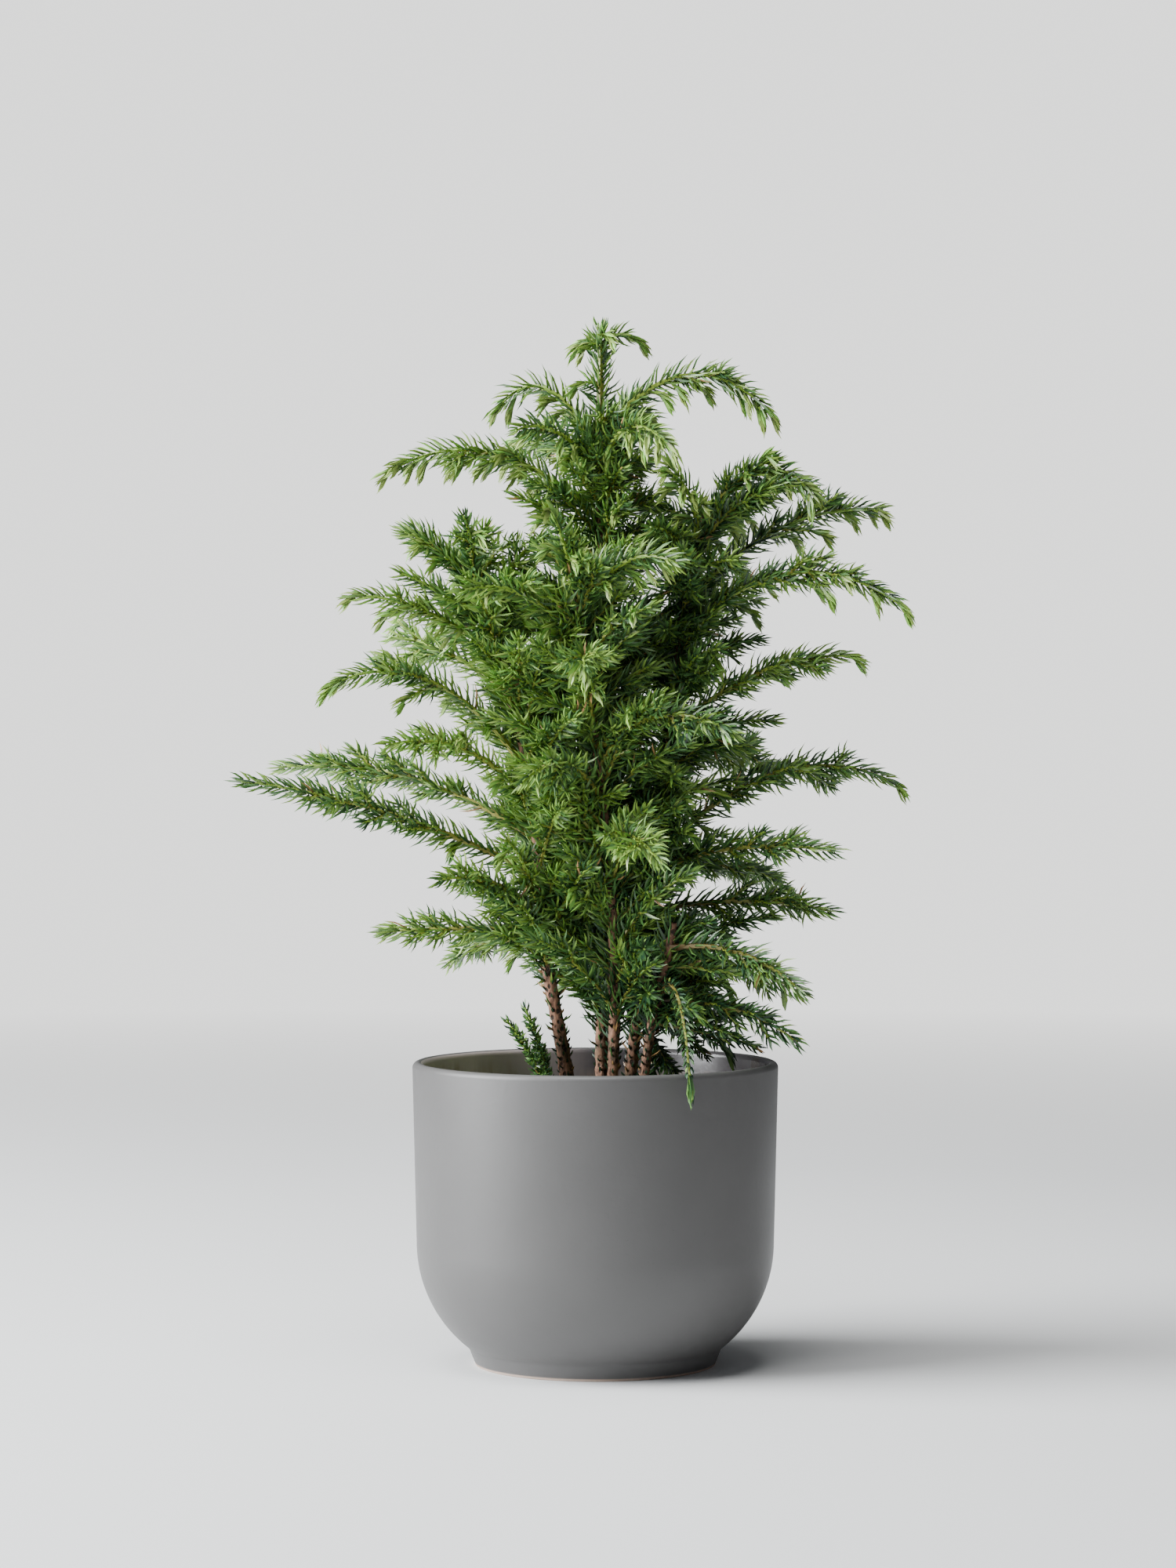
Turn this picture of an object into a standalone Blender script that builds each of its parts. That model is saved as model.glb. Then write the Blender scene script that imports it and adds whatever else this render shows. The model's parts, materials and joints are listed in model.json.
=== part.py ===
"""A small tabletop conifer in a glazed pot.

The pot stands by itself. The planted insert lifts out of it: a plastic liner that holds a
cement ballast, a foam plug, a moss mat, five wired stems and a sprout. Each stem is a bark
sleeve on a steel core. The branches are moulded on wires, and each one bends at its root.

Metres, +Z up, +X to the right and -Y to the front. The origin is the centre of the pot's
flat underside. Heights in the planting tables are in millimetres above the ground line,
which is the top edge of the liner.
"""
import math

import bmesh
import bpy
from mathutils import Matrix, Vector

MM = 0.001

# ---- Pot --------------------------------------------------------------------------------
POT_HEIGHT = 124 * MM
POT_RIM_RADIUS = 75 * MM
POT_WALL = 4.6 * MM
POT_FLOOR = 7 * MM
POT_SIDE_FLARE = 1.7 * MM  # how much wider the rim is than the shoulder
POT_SHOULDER_HEIGHT = 50 * MM  # where the straight side turns into the belly
POT_BELLY_RADIUS = 54 * MM
POT_FOOT_HEIGHT = 7.5 * MM
POT_FOOT_INSET = 1.2 * MM
POT_FOOT_TAPER = 2.0 * MM
POT_FOOT_CHAMFER = 0.6 * MM
POT_SEGMENTS = 56

# ---- Lift-out liner and what fills it ---------------------------------------------------
GROUND_DEPTH = 18 * MM  # rim of the pot down to the top edge of the liner
LINER_CLEARANCE = 1.2 * MM  # between the liner and the inside of the pot
LINER_WALL = 1.4 * MM
LINER_FLOOR = 1.6 * MM
BALLAST_HEIGHT = 36 * MM
MOSS_EDGE_HEIGHT = 3.2 * MM
MOSS_CROWN_HEIGHT = 6.5 * MM
SEAT_GAP = 0.3 * MM  # between pieces that touch
LINER_SEGMENTS = 40

# ---- Stems ------------------------------------------------------------------------------
SLEEVE_DEPTH = 42 * MM  # how far the bark sleeves go below the ground line
CORE_RADIUS = 0.8 * MM
CORE_CLEARANCE = 0.35 * MM
CORE_SHARE = 0.72  # how far up the stem the steel core reaches
CORE_EMBED = 22 * MM  # how far the cores go into the ballast
STEM_HOLE_CLEARANCE = 0.5 * MM
STEM_SIDES = 8
STEM_STRAIGHT = 8 * MM  # the stems leave the ground upright for this far

# ---- Branches ---------------------------------------------------------------------------
ROOT_RADIUS = 1.4 * MM  # rounded wire end that each branch turns on
ROOT_GAP = 0.45 * MM  # between that end and the bark
ROOT_LENGTH = 4.2 * MM  # bare wire before the foliage swells
BRANCH_THICKNESS = 10 * MM
BRANCH_TIP = 5 * MM
BRANCH_SIDES = 8
BRANCH_RINGS = 7
RIM_OVERHANG = 12 * MM  # how far the front sprig reaches past the rim
RIM_LIFT = 30 * MM  # how far above the rim it crosses
RIM_DROOP = 34 * MM  # how far its tip drops below that

LEADER_HEIGHT = 38 * MM
LEADER_WIDTH = 15 * MM
SPROUT_HEIGHT = 36 * MM
SPROUT_WIDTH = 11 * MM
SPROUT_DEPTH = 8 * MM  # how far its wire goes below the ground line

# Each stem: radius at the ground and at the top, then points (x, y, height), in mm.
STEMS = {
    "stem_left": (3.2, 1.9, [(-11, 0, 0), (-19, -2, 51), (-23, -3, 100), (-30, -5, 150),
                             (-39, -6, 180), (-54, -8, 222)]),
    "stem_centre": (3.4, 2.0, [(3, 14, 0), (3, 15, 90), (3, 14, 190), (2, 12, 281)]),
    "stem_front": (2.8, 1.8, [(7, -10, 0), (8, -14, 54), (4, -19, 114), (-3, -24, 174),
                              (-9, -29, 216)]),
    "stem_right": (2.9, 1.8, [(14, 4, 0), (19, 6, 48), (25, 9, 106), (31, 12, 160),
                              (37, 16, 209), (46, 18, 245)]),
    "stem_low": (2.6, 1.8, [(19, -12, 0), (24, -17, 39), (32, -23, 76)]),
}
SPROUT_PLACE = (-15, -13)

# Each branch: stem, height of its root, bearing in degrees (0 is +X, 90 is the back),
# reach, height of the arch's control point, height of the tip above the root, width.
BRANCHES = {
    "branch_centre_01": ("stem_centre", 279, -8, 68, 37, 4, 26),
    "branch_centre_02": ("stem_centre", 273, 172, 40, 42, 12, 20),
    "branch_centre_03": ("stem_centre", 264, -64, 60, 22, 2, 24),
    "branch_centre_04": ("stem_centre", 262, 230, 54, 26, 10, 24),
    "branch_centre_05": ("stem_centre", 270, 68, 60, 34, 8, 26),
    "branch_centre_06": ("stem_centre", 256, 124, 66, 34, 10, 28),
    "branch_centre_07": ("stem_centre", 243, 184, 86, 42, 16, 28),
    "branch_centre_08": ("stem_centre", 218, 92, 86, 34, 4, 32),
    "branch_centre_09": ("stem_centre", 186, 142, 96, 34, 2, 34),
    "branch_centre_10": ("stem_centre", 172, 64, 96, 28, -2, 34),
    "branch_centre_11": ("stem_centre", 146, 108, 100, 24, -8, 36),
    "branch_front_01": ("stem_front", 213, 252, 26, 24, 28, 20),
    "branch_front_02": ("stem_front", 205, 322, 52, 26, 12, 24),
    "branch_front_03": ("stem_front", 192, 204, 54, 30, 14, 24),
    "branch_front_04": ("stem_front", 168, 268, 62, 26, 6, 30),
    "branch_front_05": ("stem_front", 148, 320, 72, 22, 2, 30),
    "branch_front_06": ("stem_front", 128, 240, 64, 22, 2, 28),
    "branch_front_07": ("stem_front", 106, 286, 74, 18, -6, 32),
    "branch_left_01": ("stem_left", 219, 166, 27, 14, 20, 20),
    "branch_left_02": ("stem_left", 212, 92, 46, 26, 10, 24),
    "branch_left_03": ("stem_left", 188, 190, 56, 24, 20, 26),
    "branch_left_04": ("stem_left", 172, 140, 66, 26, 20, 28),
    "branch_left_05": ("stem_left", 144, 193, 77, 46, 28, 28),
    "branch_left_06": ("stem_left", 128, 222, 78, 30, 18, 30),
    "branch_left_07": ("stem_left", 112, 161, 116, 30, 26, 32),
    "branch_left_08": ("stem_left", 96, 197, 126, 32, 38, 32),
    "branch_left_09": ("stem_left", 80, 232, 68, 18, 14, 28),
    "branch_left_10": ("stem_left", 72, 176, 68, 4, -2, 28),
    "branch_left_11": ("stem_left", 62, 122, 80, 12, -10, 32),
    "branch_right_01": ("stem_right", 242, -24, 48, 36, 3, 22),
    "branch_right_02": ("stem_right", 234, 248, 34, 28, 24, 20),
    "branch_right_03": ("stem_right", 226, 74, 72, 30, 6, 28),
    "branch_right_04": ("stem_right", 210, 14, 88, 40, 36, 30),
    "branch_right_05": ("stem_right", 196, -20, 92, 40, 8, 30),
    "branch_right_06": ("stem_right", 136, 56, 92, 20, -4, 32),
    "branch_right_07": ("stem_right", 156, 2, 74, 34, 28, 34),
    "branch_right_08": ("stem_right", 106, 8, 99, 50, 25, 32),
    "branch_right_09": ("stem_right", 98, -26, 82, 14, 6, 30),
    "branch_right_10": ("stem_right", 92, 48, 90, 12, -10, 32),
    "branch_right_11": ("stem_right", 80, -4, 76, 8, -2, 32),
    "branch_right_12": ("stem_right", 62, 22, 72, 2, -22, 28),
    "branch_low_01": ("stem_low", 66, -34, 62, 4, -18, 28),
}
RIM_BRANCH = "branch_low_02"  # the sprig that hangs over the front of the rim
RIM_BRANCH_ROOT = 46
RIM_BRANCH_BEARING = -78
RIM_BRANCH_WIDTH = 22

GROUND = POT_HEIGHT - GROUND_DEPTH


# ---- Materials --------------------------------------------------------------------------
def principled(name, colour, roughness, metallic=0.0):
    material = bpy.data.materials.new(name)
    material.use_nodes = True
    shader = material.node_tree.nodes["Principled BSDF"]
    shader.inputs["Base Color"].default_value = (*colour, 1.0)
    shader.inputs["Roughness"].default_value = roughness
    shader.inputs["Metallic"].default_value = metallic
    material.diffuse_color = (*colour, 1.0)
    return material


# ---- Mesh tools -------------------------------------------------------------------------
def new_object(name, mesh_bm, material, place=(0, 0, 0)):
    """Make an object whose origin is at place from a mesh given in world coordinates."""
    bmesh.ops.recalc_face_normals(mesh_bm, faces=mesh_bm.faces)
    bmesh.ops.translate(mesh_bm, verts=mesh_bm.verts, vec=-Vector(place))
    mesh = bpy.data.meshes.new(name)
    mesh_bm.to_mesh(mesh)
    mesh_bm.free()
    mesh.shade_smooth()
    mesh.set_sharp_from_angle(angle=math.radians(40))
    mesh.materials.append(material)
    item = bpy.data.objects.new(name, mesh)
    item.location = place
    bpy.context.scene.collection.objects.link(item)
    return item


def turned(profile, segments):
    """Spin a profile of (radius, height) points round the Z axis into a closed body."""
    mesh_bm = bmesh.new()
    verts = [mesh_bm.verts.new((radius, 0, height)) for radius, height in profile]
    edges = [mesh_bm.edges.new(pair) for pair in zip(verts, verts[1:])]
    bmesh.ops.spin(mesh_bm, geom=verts + edges, cent=(0, 0, 0), axis=(0, 0, 1),
                   angle=math.tau, steps=segments, use_merge=True)
    bmesh.ops.remove_doubles(mesh_bm, verts=mesh_bm.verts, dist=0.00001)
    return mesh_bm


def arc(centre, radius, start, end, steps):
    """Points on an arc in the profile plane, with its angles in degrees."""
    angles = [math.radians(start + (end - start) * i / steps) for i in range(steps + 1)]
    return [(centre[0] + radius * math.cos(a), centre[1] + radius * math.sin(a))
            for a in angles]


def ring(mesh_bm, centre, side, up, half_width, half_height, sides):
    """A ring of vertices on an ellipse round centre."""
    angles = [math.tau * i / sides for i in range(sides)]
    return [mesh_bm.verts.new(centre + side * (half_width * math.cos(a))
                              + up * (half_height * math.sin(a))) for a in angles]


def skin(mesh_bm, rings):
    """Join each ring of vertices to the next one with quads."""
    for low, high in zip(rings, rings[1:]):
        count = len(low)
        for i in range(count):
            j = (i + 1) % count
            mesh_bm.faces.new((low[i], low[j], high[j], high[i]))


def frames_along(points):
    """A tangent, a side and an up vector for each point of a mostly upright path."""
    frames = []
    for i, point in enumerate(points):
        tangent = (points[min(i + 1, len(points) - 1)] - points[max(i - 1, 0)]).normalized()
        side = Vector((0, 1, 0)).cross(tangent).normalized()
        frames.append((point, side, tangent.cross(side)))
    return frames


# ---- Pot --------------------------------------------------------------------------------
def pot_shoulder_radius():
    return POT_RIM_RADIUS - POT_SIDE_FLARE


def pot_belly_centre():
    return pot_shoulder_radius() - POT_BELLY_RADIUS, POT_SHOULDER_HEIGHT


def pot_inner_radius(height):
    """The radius of the pot's inner wall at a height above its floor."""
    if height >= POT_SHOULDER_HEIGHT:
        share = (height - POT_SHOULDER_HEIGHT) / (POT_HEIGHT - POT_SHOULDER_HEIGHT)
        return pot_shoulder_radius() + POT_SIDE_FLARE * share - POT_WALL
    centre, middle = pot_belly_centre()
    return centre + math.sqrt((POT_BELLY_RADIUS - POT_WALL) ** 2 - (middle - height) ** 2)


def belly_angle(radius, height):
    """How far below level an arc round the belly's centre reaches a height, in degrees."""
    return math.degrees(math.asin((POT_SHOULDER_HEIGHT - height) / radius))


def pot_profile():
    centre = pot_belly_centre()
    inner = POT_BELLY_RADIUS - POT_WALL
    belly = arc(centre, POT_BELLY_RADIUS,
                -belly_angle(POT_BELLY_RADIUS, POT_FOOT_HEIGHT), 0, 6)
    foot_top = belly[0][0] - POT_FOOT_INSET
    foot = foot_top - POT_FOOT_TAPER
    lip = POT_WALL / 2
    lip_centre = (POT_RIM_RADIUS - lip, POT_HEIGHT - lip)
    bowl = arc(centre, inner, 0, -belly_angle(inner, POT_FLOOR), 4)
    return [(0, 0), (foot - POT_FOOT_CHAMFER, 0), (foot, POT_FOOT_CHAMFER),
            (foot_top, POT_FOOT_HEIGHT - POT_FOOT_INSET), *belly,
            *arc(lip_centre, lip, 0, 180, 6), *bowl, (0, POT_FLOOR)]


def build_pot():
    glaze = principled("grey_glaze", (0.25, 0.26, 0.27), 0.38)
    new_object("pot", turned(pot_profile(), POT_SEGMENTS), glaze)


# ---- Insert -----------------------------------------------------------------------------
def liner_base():
    return POT_FLOOR + SEAT_GAP


def liner_radius(height):
    """The outer radius of the liner, a straight cone between the pot's floor and ground."""
    low = pot_inner_radius(liner_base()) - LINER_CLEARANCE
    high = pot_inner_radius(GROUND) - LINER_CLEARANCE
    share = (height - liner_base()) / (GROUND - liner_base())
    return low + (high - low) * share


def fill_radius(height):
    """The radius of what fills the liner."""
    return liner_radius(height) - LINER_WALL - SEAT_GAP


def plug_body(low, high):
    """A tapered disc that fills the liner from one height to another."""
    return turned([(0, low), (fill_radius(low), low), (fill_radius(high), high), (0, high)],
                  LINER_SEGMENTS)


def build_liner():
    base, floor = liner_base(), liner_base() + LINER_FLOOR
    profile = [(0, base), (liner_radius(base), base), (liner_radius(GROUND), GROUND),
               (liner_radius(GROUND) - LINER_WALL, GROUND),
               (liner_radius(floor) - LINER_WALL, floor), (0, floor)]
    plastic = principled("liner_plastic", (0.03, 0.032, 0.03), 0.5)
    new_object("liner", turned(profile, LINER_SEGMENTS), plastic)


def drill(item, holes):
    """Cut upright round holes, each (x, y, radius, lowest, highest), through an object."""
    mesh_bm = bmesh.new()
    for x, y, radius, low, high in holes:
        place = Matrix.Translation((x, y, (low + high) / 2))
        bmesh.ops.create_cone(mesh_bm, cap_ends=True, segments=12, radius1=radius,
                              radius2=radius, depth=high - low, matrix=place)
    number = len(item.modifiers) + 1
    cutter = new_object(f"{item.name}_cutter_{number}", mesh_bm, item.data.materials[0])
    cutter.hide_render = True
    cutter.display_type = "WIRE"
    cut = item.modifiers.new(f"drilled_{number}", "BOOLEAN")
    cut.operation = "DIFFERENCE"
    cut.solver = "EXACT"
    cut.object = cutter


def stem_foot(stem):
    """Where a stem stands, and its radius there."""
    low_radius, _, points = STEMS[stem]
    return points[0][0] * MM, points[0][1] * MM, low_radius * MM


def sleeve_holes(low, high):
    holes = []
    for stem in STEMS:
        x, y, radius = stem_foot(stem)
        holes.append((x, y, radius + STEM_HOLE_CLEARANCE, low, high))
    x, y = SPROUT_PLACE[0] * MM, SPROUT_PLACE[1] * MM
    holes.append((x, y, ROOT_RADIUS + STEM_HOLE_CLEARANCE, low, high))
    return holes


def ballast_top():
    return liner_base() + LINER_FLOOR + SEAT_GAP + BALLAST_HEIGHT


def sleeve_bottom():
    return GROUND - SLEEVE_DEPTH


def build_ballast():
    cement = principled("cement", (0.42, 0.40, 0.37), 0.9)
    base = liner_base() + LINER_FLOOR + SEAT_GAP
    top = ballast_top()
    item = new_object("ballast", plug_body(base, top), cement)
    reach = top - CORE_EMBED - CORE_CLEARANCE
    holes = [(*stem_foot(stem)[:2], CORE_RADIUS + CORE_CLEARANCE, reach, top + 1 * MM)
             for stem in STEMS]
    drill(item, holes)


def build_foam():
    foam = principled("foam", (0.30, 0.36, 0.22), 0.95)
    low, high = ballast_top() + SEAT_GAP, GROUND - SEAT_GAP
    item = new_object("foam_plug", plug_body(low, high), foam)
    split = sleeve_bottom() - STEM_HOLE_CLEARANCE
    drill(item, sleeve_holes(split, high + 1 * MM))
    drill(item, [(*stem_foot(stem)[:2], CORE_RADIUS + CORE_CLEARANCE, low - 1 * MM,
                  split + 1 * MM) for stem in STEMS])


def build_moss():
    moss = principled("moss", (0.10, 0.13, 0.04), 0.95)
    edge = pot_inner_radius(GROUND) - LINER_CLEARANCE
    low = GROUND + SEAT_GAP
    crown = MOSS_CROWN_HEIGHT - MOSS_EDGE_HEIGHT
    dome = [(edge * share, low + MOSS_EDGE_HEIGHT + crown * (1 - share ** 2))
            for share in (0.96, 0.75, 0.5, 0.25, 0)]
    profile = [(0, low), (edge, low), (edge, low + MOSS_EDGE_HEIGHT * 0.6), *dome]
    item = new_object("moss_mat", turned(profile, LINER_SEGMENTS), moss)
    drill(item, sleeve_holes(low - 1 * MM, low + MOSS_CROWN_HEIGHT + 2 * MM))


# ---- Stems ------------------------------------------------------------------------------
def hermite(start, end, start_slope, end_slope, share):
    """A cubic between two values, with the slopes given over the whole stretch."""
    s = share
    return (start * (2 * s ** 3 - 3 * s ** 2 + 1) + start_slope * (s ** 3 - 2 * s ** 2 + s)
            + end * (3 * s ** 2 - 2 * s ** 3) + end_slope * (s ** 3 - s ** 2))


def stem_knots(stem):
    """The stem's points in metres, with the lowest one raised to the upright stretch's end."""
    points = [Vector(point) * MM for point in STEMS[stem][2]]
    points[0].z = STEM_STRAIGHT
    return points


def stem_slope(points, i):
    """How far a stem leans for each metre of height at one of its points."""
    if i == 0:
        return Vector((0, 0, 0))
    after = points[min(i + 1, len(points) - 1)]
    lean = after - points[i - 1]
    return lean / lean.z


def stem_point(stem, height):
    """The middle of a stem at a height above the ground line, in world coordinates."""
    points = stem_knots(stem)
    if height <= points[0].z:
        return Vector((points[0].x, points[0].y, GROUND + height))
    i = max(k for k in range(len(points) - 1) if points[k].z < height)
    span = points[i + 1].z - points[i].z
    share = (height - points[i].z) / span
    low_slope, high_slope = stem_slope(points, i) * span, stem_slope(points, i + 1) * span
    x = hermite(points[i].x, points[i + 1].x, low_slope.x, high_slope.x, share)
    y = hermite(points[i].y, points[i + 1].y, low_slope.y, high_slope.y, share)
    return Vector((x, y, GROUND + height))


def stem_top(stem):
    return STEMS[stem][2][-1][2] * MM


def stem_radius(stem, height):
    low, high, _ = STEMS[stem]
    share = min(max(height / stem_top(stem), 0), 1)
    return (low + (high - low) * share) * MM


def stem_heights(stem, low, high):
    """The heights of a stem's rings: its two ends, the ground stretch and about 25 mm steps."""
    steps = max(2, round((high - STEM_STRAIGHT) / (25 * MM)))
    rise = [STEM_STRAIGHT + (high - STEM_STRAIGHT) * i / steps for i in range(1, steps + 1)]
    return [low, STEM_STRAIGHT, *rise]


def tube_rings(mesh_bm, stem, heights, radius_at):
    points = [stem_point(stem, height) for height in heights]
    return [ring(mesh_bm, point, side, up, radius_at(height), radius_at(height), STEM_SIDES)
            for height, (point, side, up) in zip(heights, frames_along(points))]


def build_sleeve(stem, bark):
    """A bark tube: closed and rounded at the top, open at the bottom for its core."""
    top, bottom = stem_top(stem), -SLEEVE_DEPTH
    core_top = top * CORE_SHARE
    mesh_bm = bmesh.new()
    outside = tube_rings(mesh_bm, stem, stem_heights(stem, bottom, top),
                         lambda height: stem_radius(stem, height))
    inside = tube_rings(mesh_bm, stem, stem_heights(stem, bottom, core_top + CORE_CLEARANCE),
                        lambda height: CORE_RADIUS + CORE_CLEARANCE)
    skin(mesh_bm, [inside[0], outside[0]])
    skin(mesh_bm, outside)
    skin(mesh_bm, inside)
    mesh_bm.faces.new(outside[-1])
    mesh_bm.faces.new(inside[-1])
    new_object(stem, mesh_bm, bark)


def build_core(stem, steel):
    """The steel wire inside a stem, from the ballast to most of the way up."""
    low = ballast_top() - CORE_EMBED - GROUND
    mesh_bm = bmesh.new()
    heights = stem_heights(stem, low, stem_top(stem) * CORE_SHARE)
    heights = [low, -SLEEVE_DEPTH, *heights[1:]]
    rings = tube_rings(mesh_bm, stem, heights, lambda height: CORE_RADIUS)
    skin(mesh_bm, rings)
    mesh_bm.faces.new(rings[0])
    mesh_bm.faces.new(rings[-1])
    new_object(stem.replace("stem", "core"), mesh_bm, steel)


def build_stems():
    steel = principled("core_steel", (0.45, 0.45, 0.46), 0.35, 1.0)
    bark = principled("bark", (0.20, 0.11, 0.06), 0.85)
    for stem in STEMS:
        build_sleeve(stem, bark)
        build_core(stem, steel)


# ---- Branches ---------------------------------------------------------------------------
def outward(bearing):
    return Vector((math.cos(math.radians(bearing)), math.sin(math.radians(bearing)), 0))


def branch_root(stem, height, bearing):
    """The point that a branch bends about: just clear of the bark."""
    offset = stem_radius(stem, height) + ROOT_GAP + ROOT_RADIUS
    return stem_point(stem, height) + outward(bearing) * offset


def arch(root, bearing, reach, climb, end):
    """Points along a branch that arches from its root over a control point to its tip."""
    points = []
    for i in range(BRANCH_RINGS + 1):
        share = i / BRANCH_RINGS
        rise = 2 * share * (1 - share) * climb + share ** 2 * end
        points.append(root + outward(bearing) * (reach * share) + Vector((0, 0, rise)))
    return points


def foliage_size(share, width, thickness):
    """The half width and half thickness of a branch at a share of its length."""
    swell = math.sin(math.pi * min(share * 0.72 + 0.14, 1)) ** 1.5
    end = math.sqrt(max(1 - share ** 6, 0.16))
    half_width = max(width / 2 * swell * end, BRANCH_TIP / 2)
    half_thickness = max(thickness / 2 * swell ** 0.6 * end, BRANCH_TIP / 2.6)
    return half_width, half_thickness


def branch_body(path, side, width, thickness, wire_length=ROOT_LENGTH):
    """A flattened, tapered body round a path, with a thin rounded root."""
    mesh_bm = bmesh.new()
    direction = (path[1] - path[0]).normalized()
    wire_up = direction.cross(side)
    wire = [(-ROOT_RADIUS * 0.85, ROOT_RADIUS * 0.5), (0, ROOT_RADIUS),
            (wire_length, ROOT_RADIUS * 0.9)]
    rings = [ring(mesh_bm, path[0] + direction * along, side, wire_up, radius, radius,
                  BRANCH_SIDES) for along, radius in wire]
    last = len(path) - 1
    for i in range(1, last + 1):
        tangent = (path[min(i + 1, last)] - path[i - 1]).normalized()
        size = foliage_size(i / last, width, thickness)
        rings.append(ring(mesh_bm, path[i], side, tangent.cross(side), *size, BRANCH_SIDES))
    skin(mesh_bm, rings)
    mesh_bm.faces.new(rings[0])
    mesh_bm.faces.new(rings[-1])
    return mesh_bm


def build_branch(name, stem, height, bearing, reach, climb, end, width, needles):
    root = branch_root(stem, height, bearing)
    path = arch(root, bearing, reach, climb, end)
    side = Vector((0, 0, 1)).cross(outward(bearing))
    new_object(name, branch_body(path, side, width, BRANCH_THICKNESS), needles, root)


def build_rim_branch(needles):
    """The sprig that crosses above the rim and hangs outside it."""
    height = RIM_BRANCH_ROOT * MM
    root = branch_root("stem_low", height, RIM_BRANCH_BEARING)
    reach = POT_RIM_RADIUS + RIM_OVERHANG - root.xy.length
    crossing = POT_HEIGHT + RIM_LIFT - root.z
    build_branch(RIM_BRANCH, "stem_low", height, RIM_BRANCH_BEARING, reach,
                 crossing + RIM_DROOP / 2, crossing - RIM_DROOP, RIM_BRANCH_WIDTH * MM,
                 needles)


def upright_path(low, height):
    return [low + Vector((0, 0, height * i / BRANCH_RINGS)) for i in range(BRANCH_RINGS + 1)]


def build_leader(needles):
    """The growing tip on top of the centre stem."""
    foot = stem_point("stem_centre", stem_top("stem_centre"))
    foot.z += ROOT_GAP + ROOT_RADIUS
    body = branch_body(upright_path(foot, LEADER_HEIGHT), Vector((1, 0, 0)), LEADER_WIDTH,
                       LEADER_WIDTH)
    new_object("leader", body, needles, foot)


def build_sprout(needles):
    """A short green shoot on a wire that goes down through the moss into the foam."""
    foot = Vector((SPROUT_PLACE[0] * MM, SPROUT_PLACE[1] * MM, GROUND - SPROUT_DEPTH))
    wire_length = SPROUT_DEPTH + MOSS_CROWN_HEIGHT + 2 * MM
    neck = foot + Vector((0, 0, wire_length))
    foliage = upright_path(neck, GROUND + SPROUT_HEIGHT - neck.z)
    body = branch_body([foot, *foliage[1:]], Vector((1, 0, 0)), SPROUT_WIDTH, SPROUT_WIDTH,
                       wire_length)
    new_object("sprout", body, needles, foot)


def build_branches():
    needles = principled("needles", (0.10, 0.20, 0.06), 0.6)
    for name, (stem, height, bearing, *sizes) in BRANCHES.items():
        reach, climb, end, width = [size * MM for size in sizes]
        build_branch(name, stem, height * MM, bearing, reach, climb, end, width, needles)
    build_rim_branch(needles)
    build_leader(needles)
    build_sprout(needles)


def main():
    for item in list(bpy.data.objects):
        bpy.data.objects.remove(item, do_unlink=True)
    build_pot()
    build_liner()
    build_ballast()
    build_foam()
    build_moss()
    build_stems()
    build_branches()


main()
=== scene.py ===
"""Looks for the potted tabletop conifer, laid out as an add-on and run as a script.

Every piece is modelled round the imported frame, in metres, and rides on one of its bodies.
The needle branches follow the middle lines of the branch solids that they stand for.
"""
import json
import math

import bpy
import numpy as np
from bpy.props import FloatProperty, FloatVectorProperty, IntProperty, PointerProperty
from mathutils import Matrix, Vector


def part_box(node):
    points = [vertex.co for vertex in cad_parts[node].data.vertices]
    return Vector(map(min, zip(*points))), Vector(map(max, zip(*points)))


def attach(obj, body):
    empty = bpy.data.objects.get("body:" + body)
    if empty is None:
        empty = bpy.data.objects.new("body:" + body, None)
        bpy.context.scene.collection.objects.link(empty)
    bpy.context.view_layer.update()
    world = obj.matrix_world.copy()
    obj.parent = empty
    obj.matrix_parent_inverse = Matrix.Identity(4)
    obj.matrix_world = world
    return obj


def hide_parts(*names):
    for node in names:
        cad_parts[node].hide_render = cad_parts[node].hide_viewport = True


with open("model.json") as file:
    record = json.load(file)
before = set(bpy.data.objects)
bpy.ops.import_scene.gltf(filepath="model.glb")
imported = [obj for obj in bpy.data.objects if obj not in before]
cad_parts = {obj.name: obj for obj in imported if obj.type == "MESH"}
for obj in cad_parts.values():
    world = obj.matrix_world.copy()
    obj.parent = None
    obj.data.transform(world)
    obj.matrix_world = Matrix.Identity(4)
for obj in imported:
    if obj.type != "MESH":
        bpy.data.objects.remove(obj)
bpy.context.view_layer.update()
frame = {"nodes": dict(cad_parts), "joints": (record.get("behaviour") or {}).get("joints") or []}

bl_info = {
    "name": "Potted Tabletop Conifer",
    "version": (1, 0, 0),
    "blender": (4, 5, 0),
    "location": "View3D > Sidebar > Conifer",
    "description": "Models a small bushy conifer of wired stems in a round glazed pot",
    "category": "Object",
}

POT_LOW, POT_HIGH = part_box("pot")
LINER_LOW, LINER_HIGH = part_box("liner")
MOSS_LOW, MOSS_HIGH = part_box("moss_mat")
# Each stem: its share of the bare height, the fineness of its sprigs, the length of the
# topmost ones, their least and greatest rise, and the middle and half spread of their bearings.
HABITS = {
    "stem_left": (1.0, 1.0, 0.038, (0.7, 2.2), (-2.6, 2.4)),
    "stem_centre": (0.45, 1.0, 0.012, (0.6, 1.6), (0.0, math.pi)),
    "stem_front": (0.6, 1.0, 0.024, (0.8, 2.2), (0.0, math.pi)),
    "stem_right": (0.35, 1.0, 0.050, (0.3, 1.5), (-0.1, 2.0)),
    "stem_low": (0.55, 0.65, 0.020, (-0.8, 0.2), (0.5, 0.9)),
}
HINGES = {joint["child"]: joint for joint in frame["joints"] if joint["type"] == "hinge"}
RIM_SPRIG, RIM_FINENESS = "branch_low_02", 0.40
TIP_ROOM = 0.0055  # how far a branch's axis stops short of its solid, for its last needles
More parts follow.
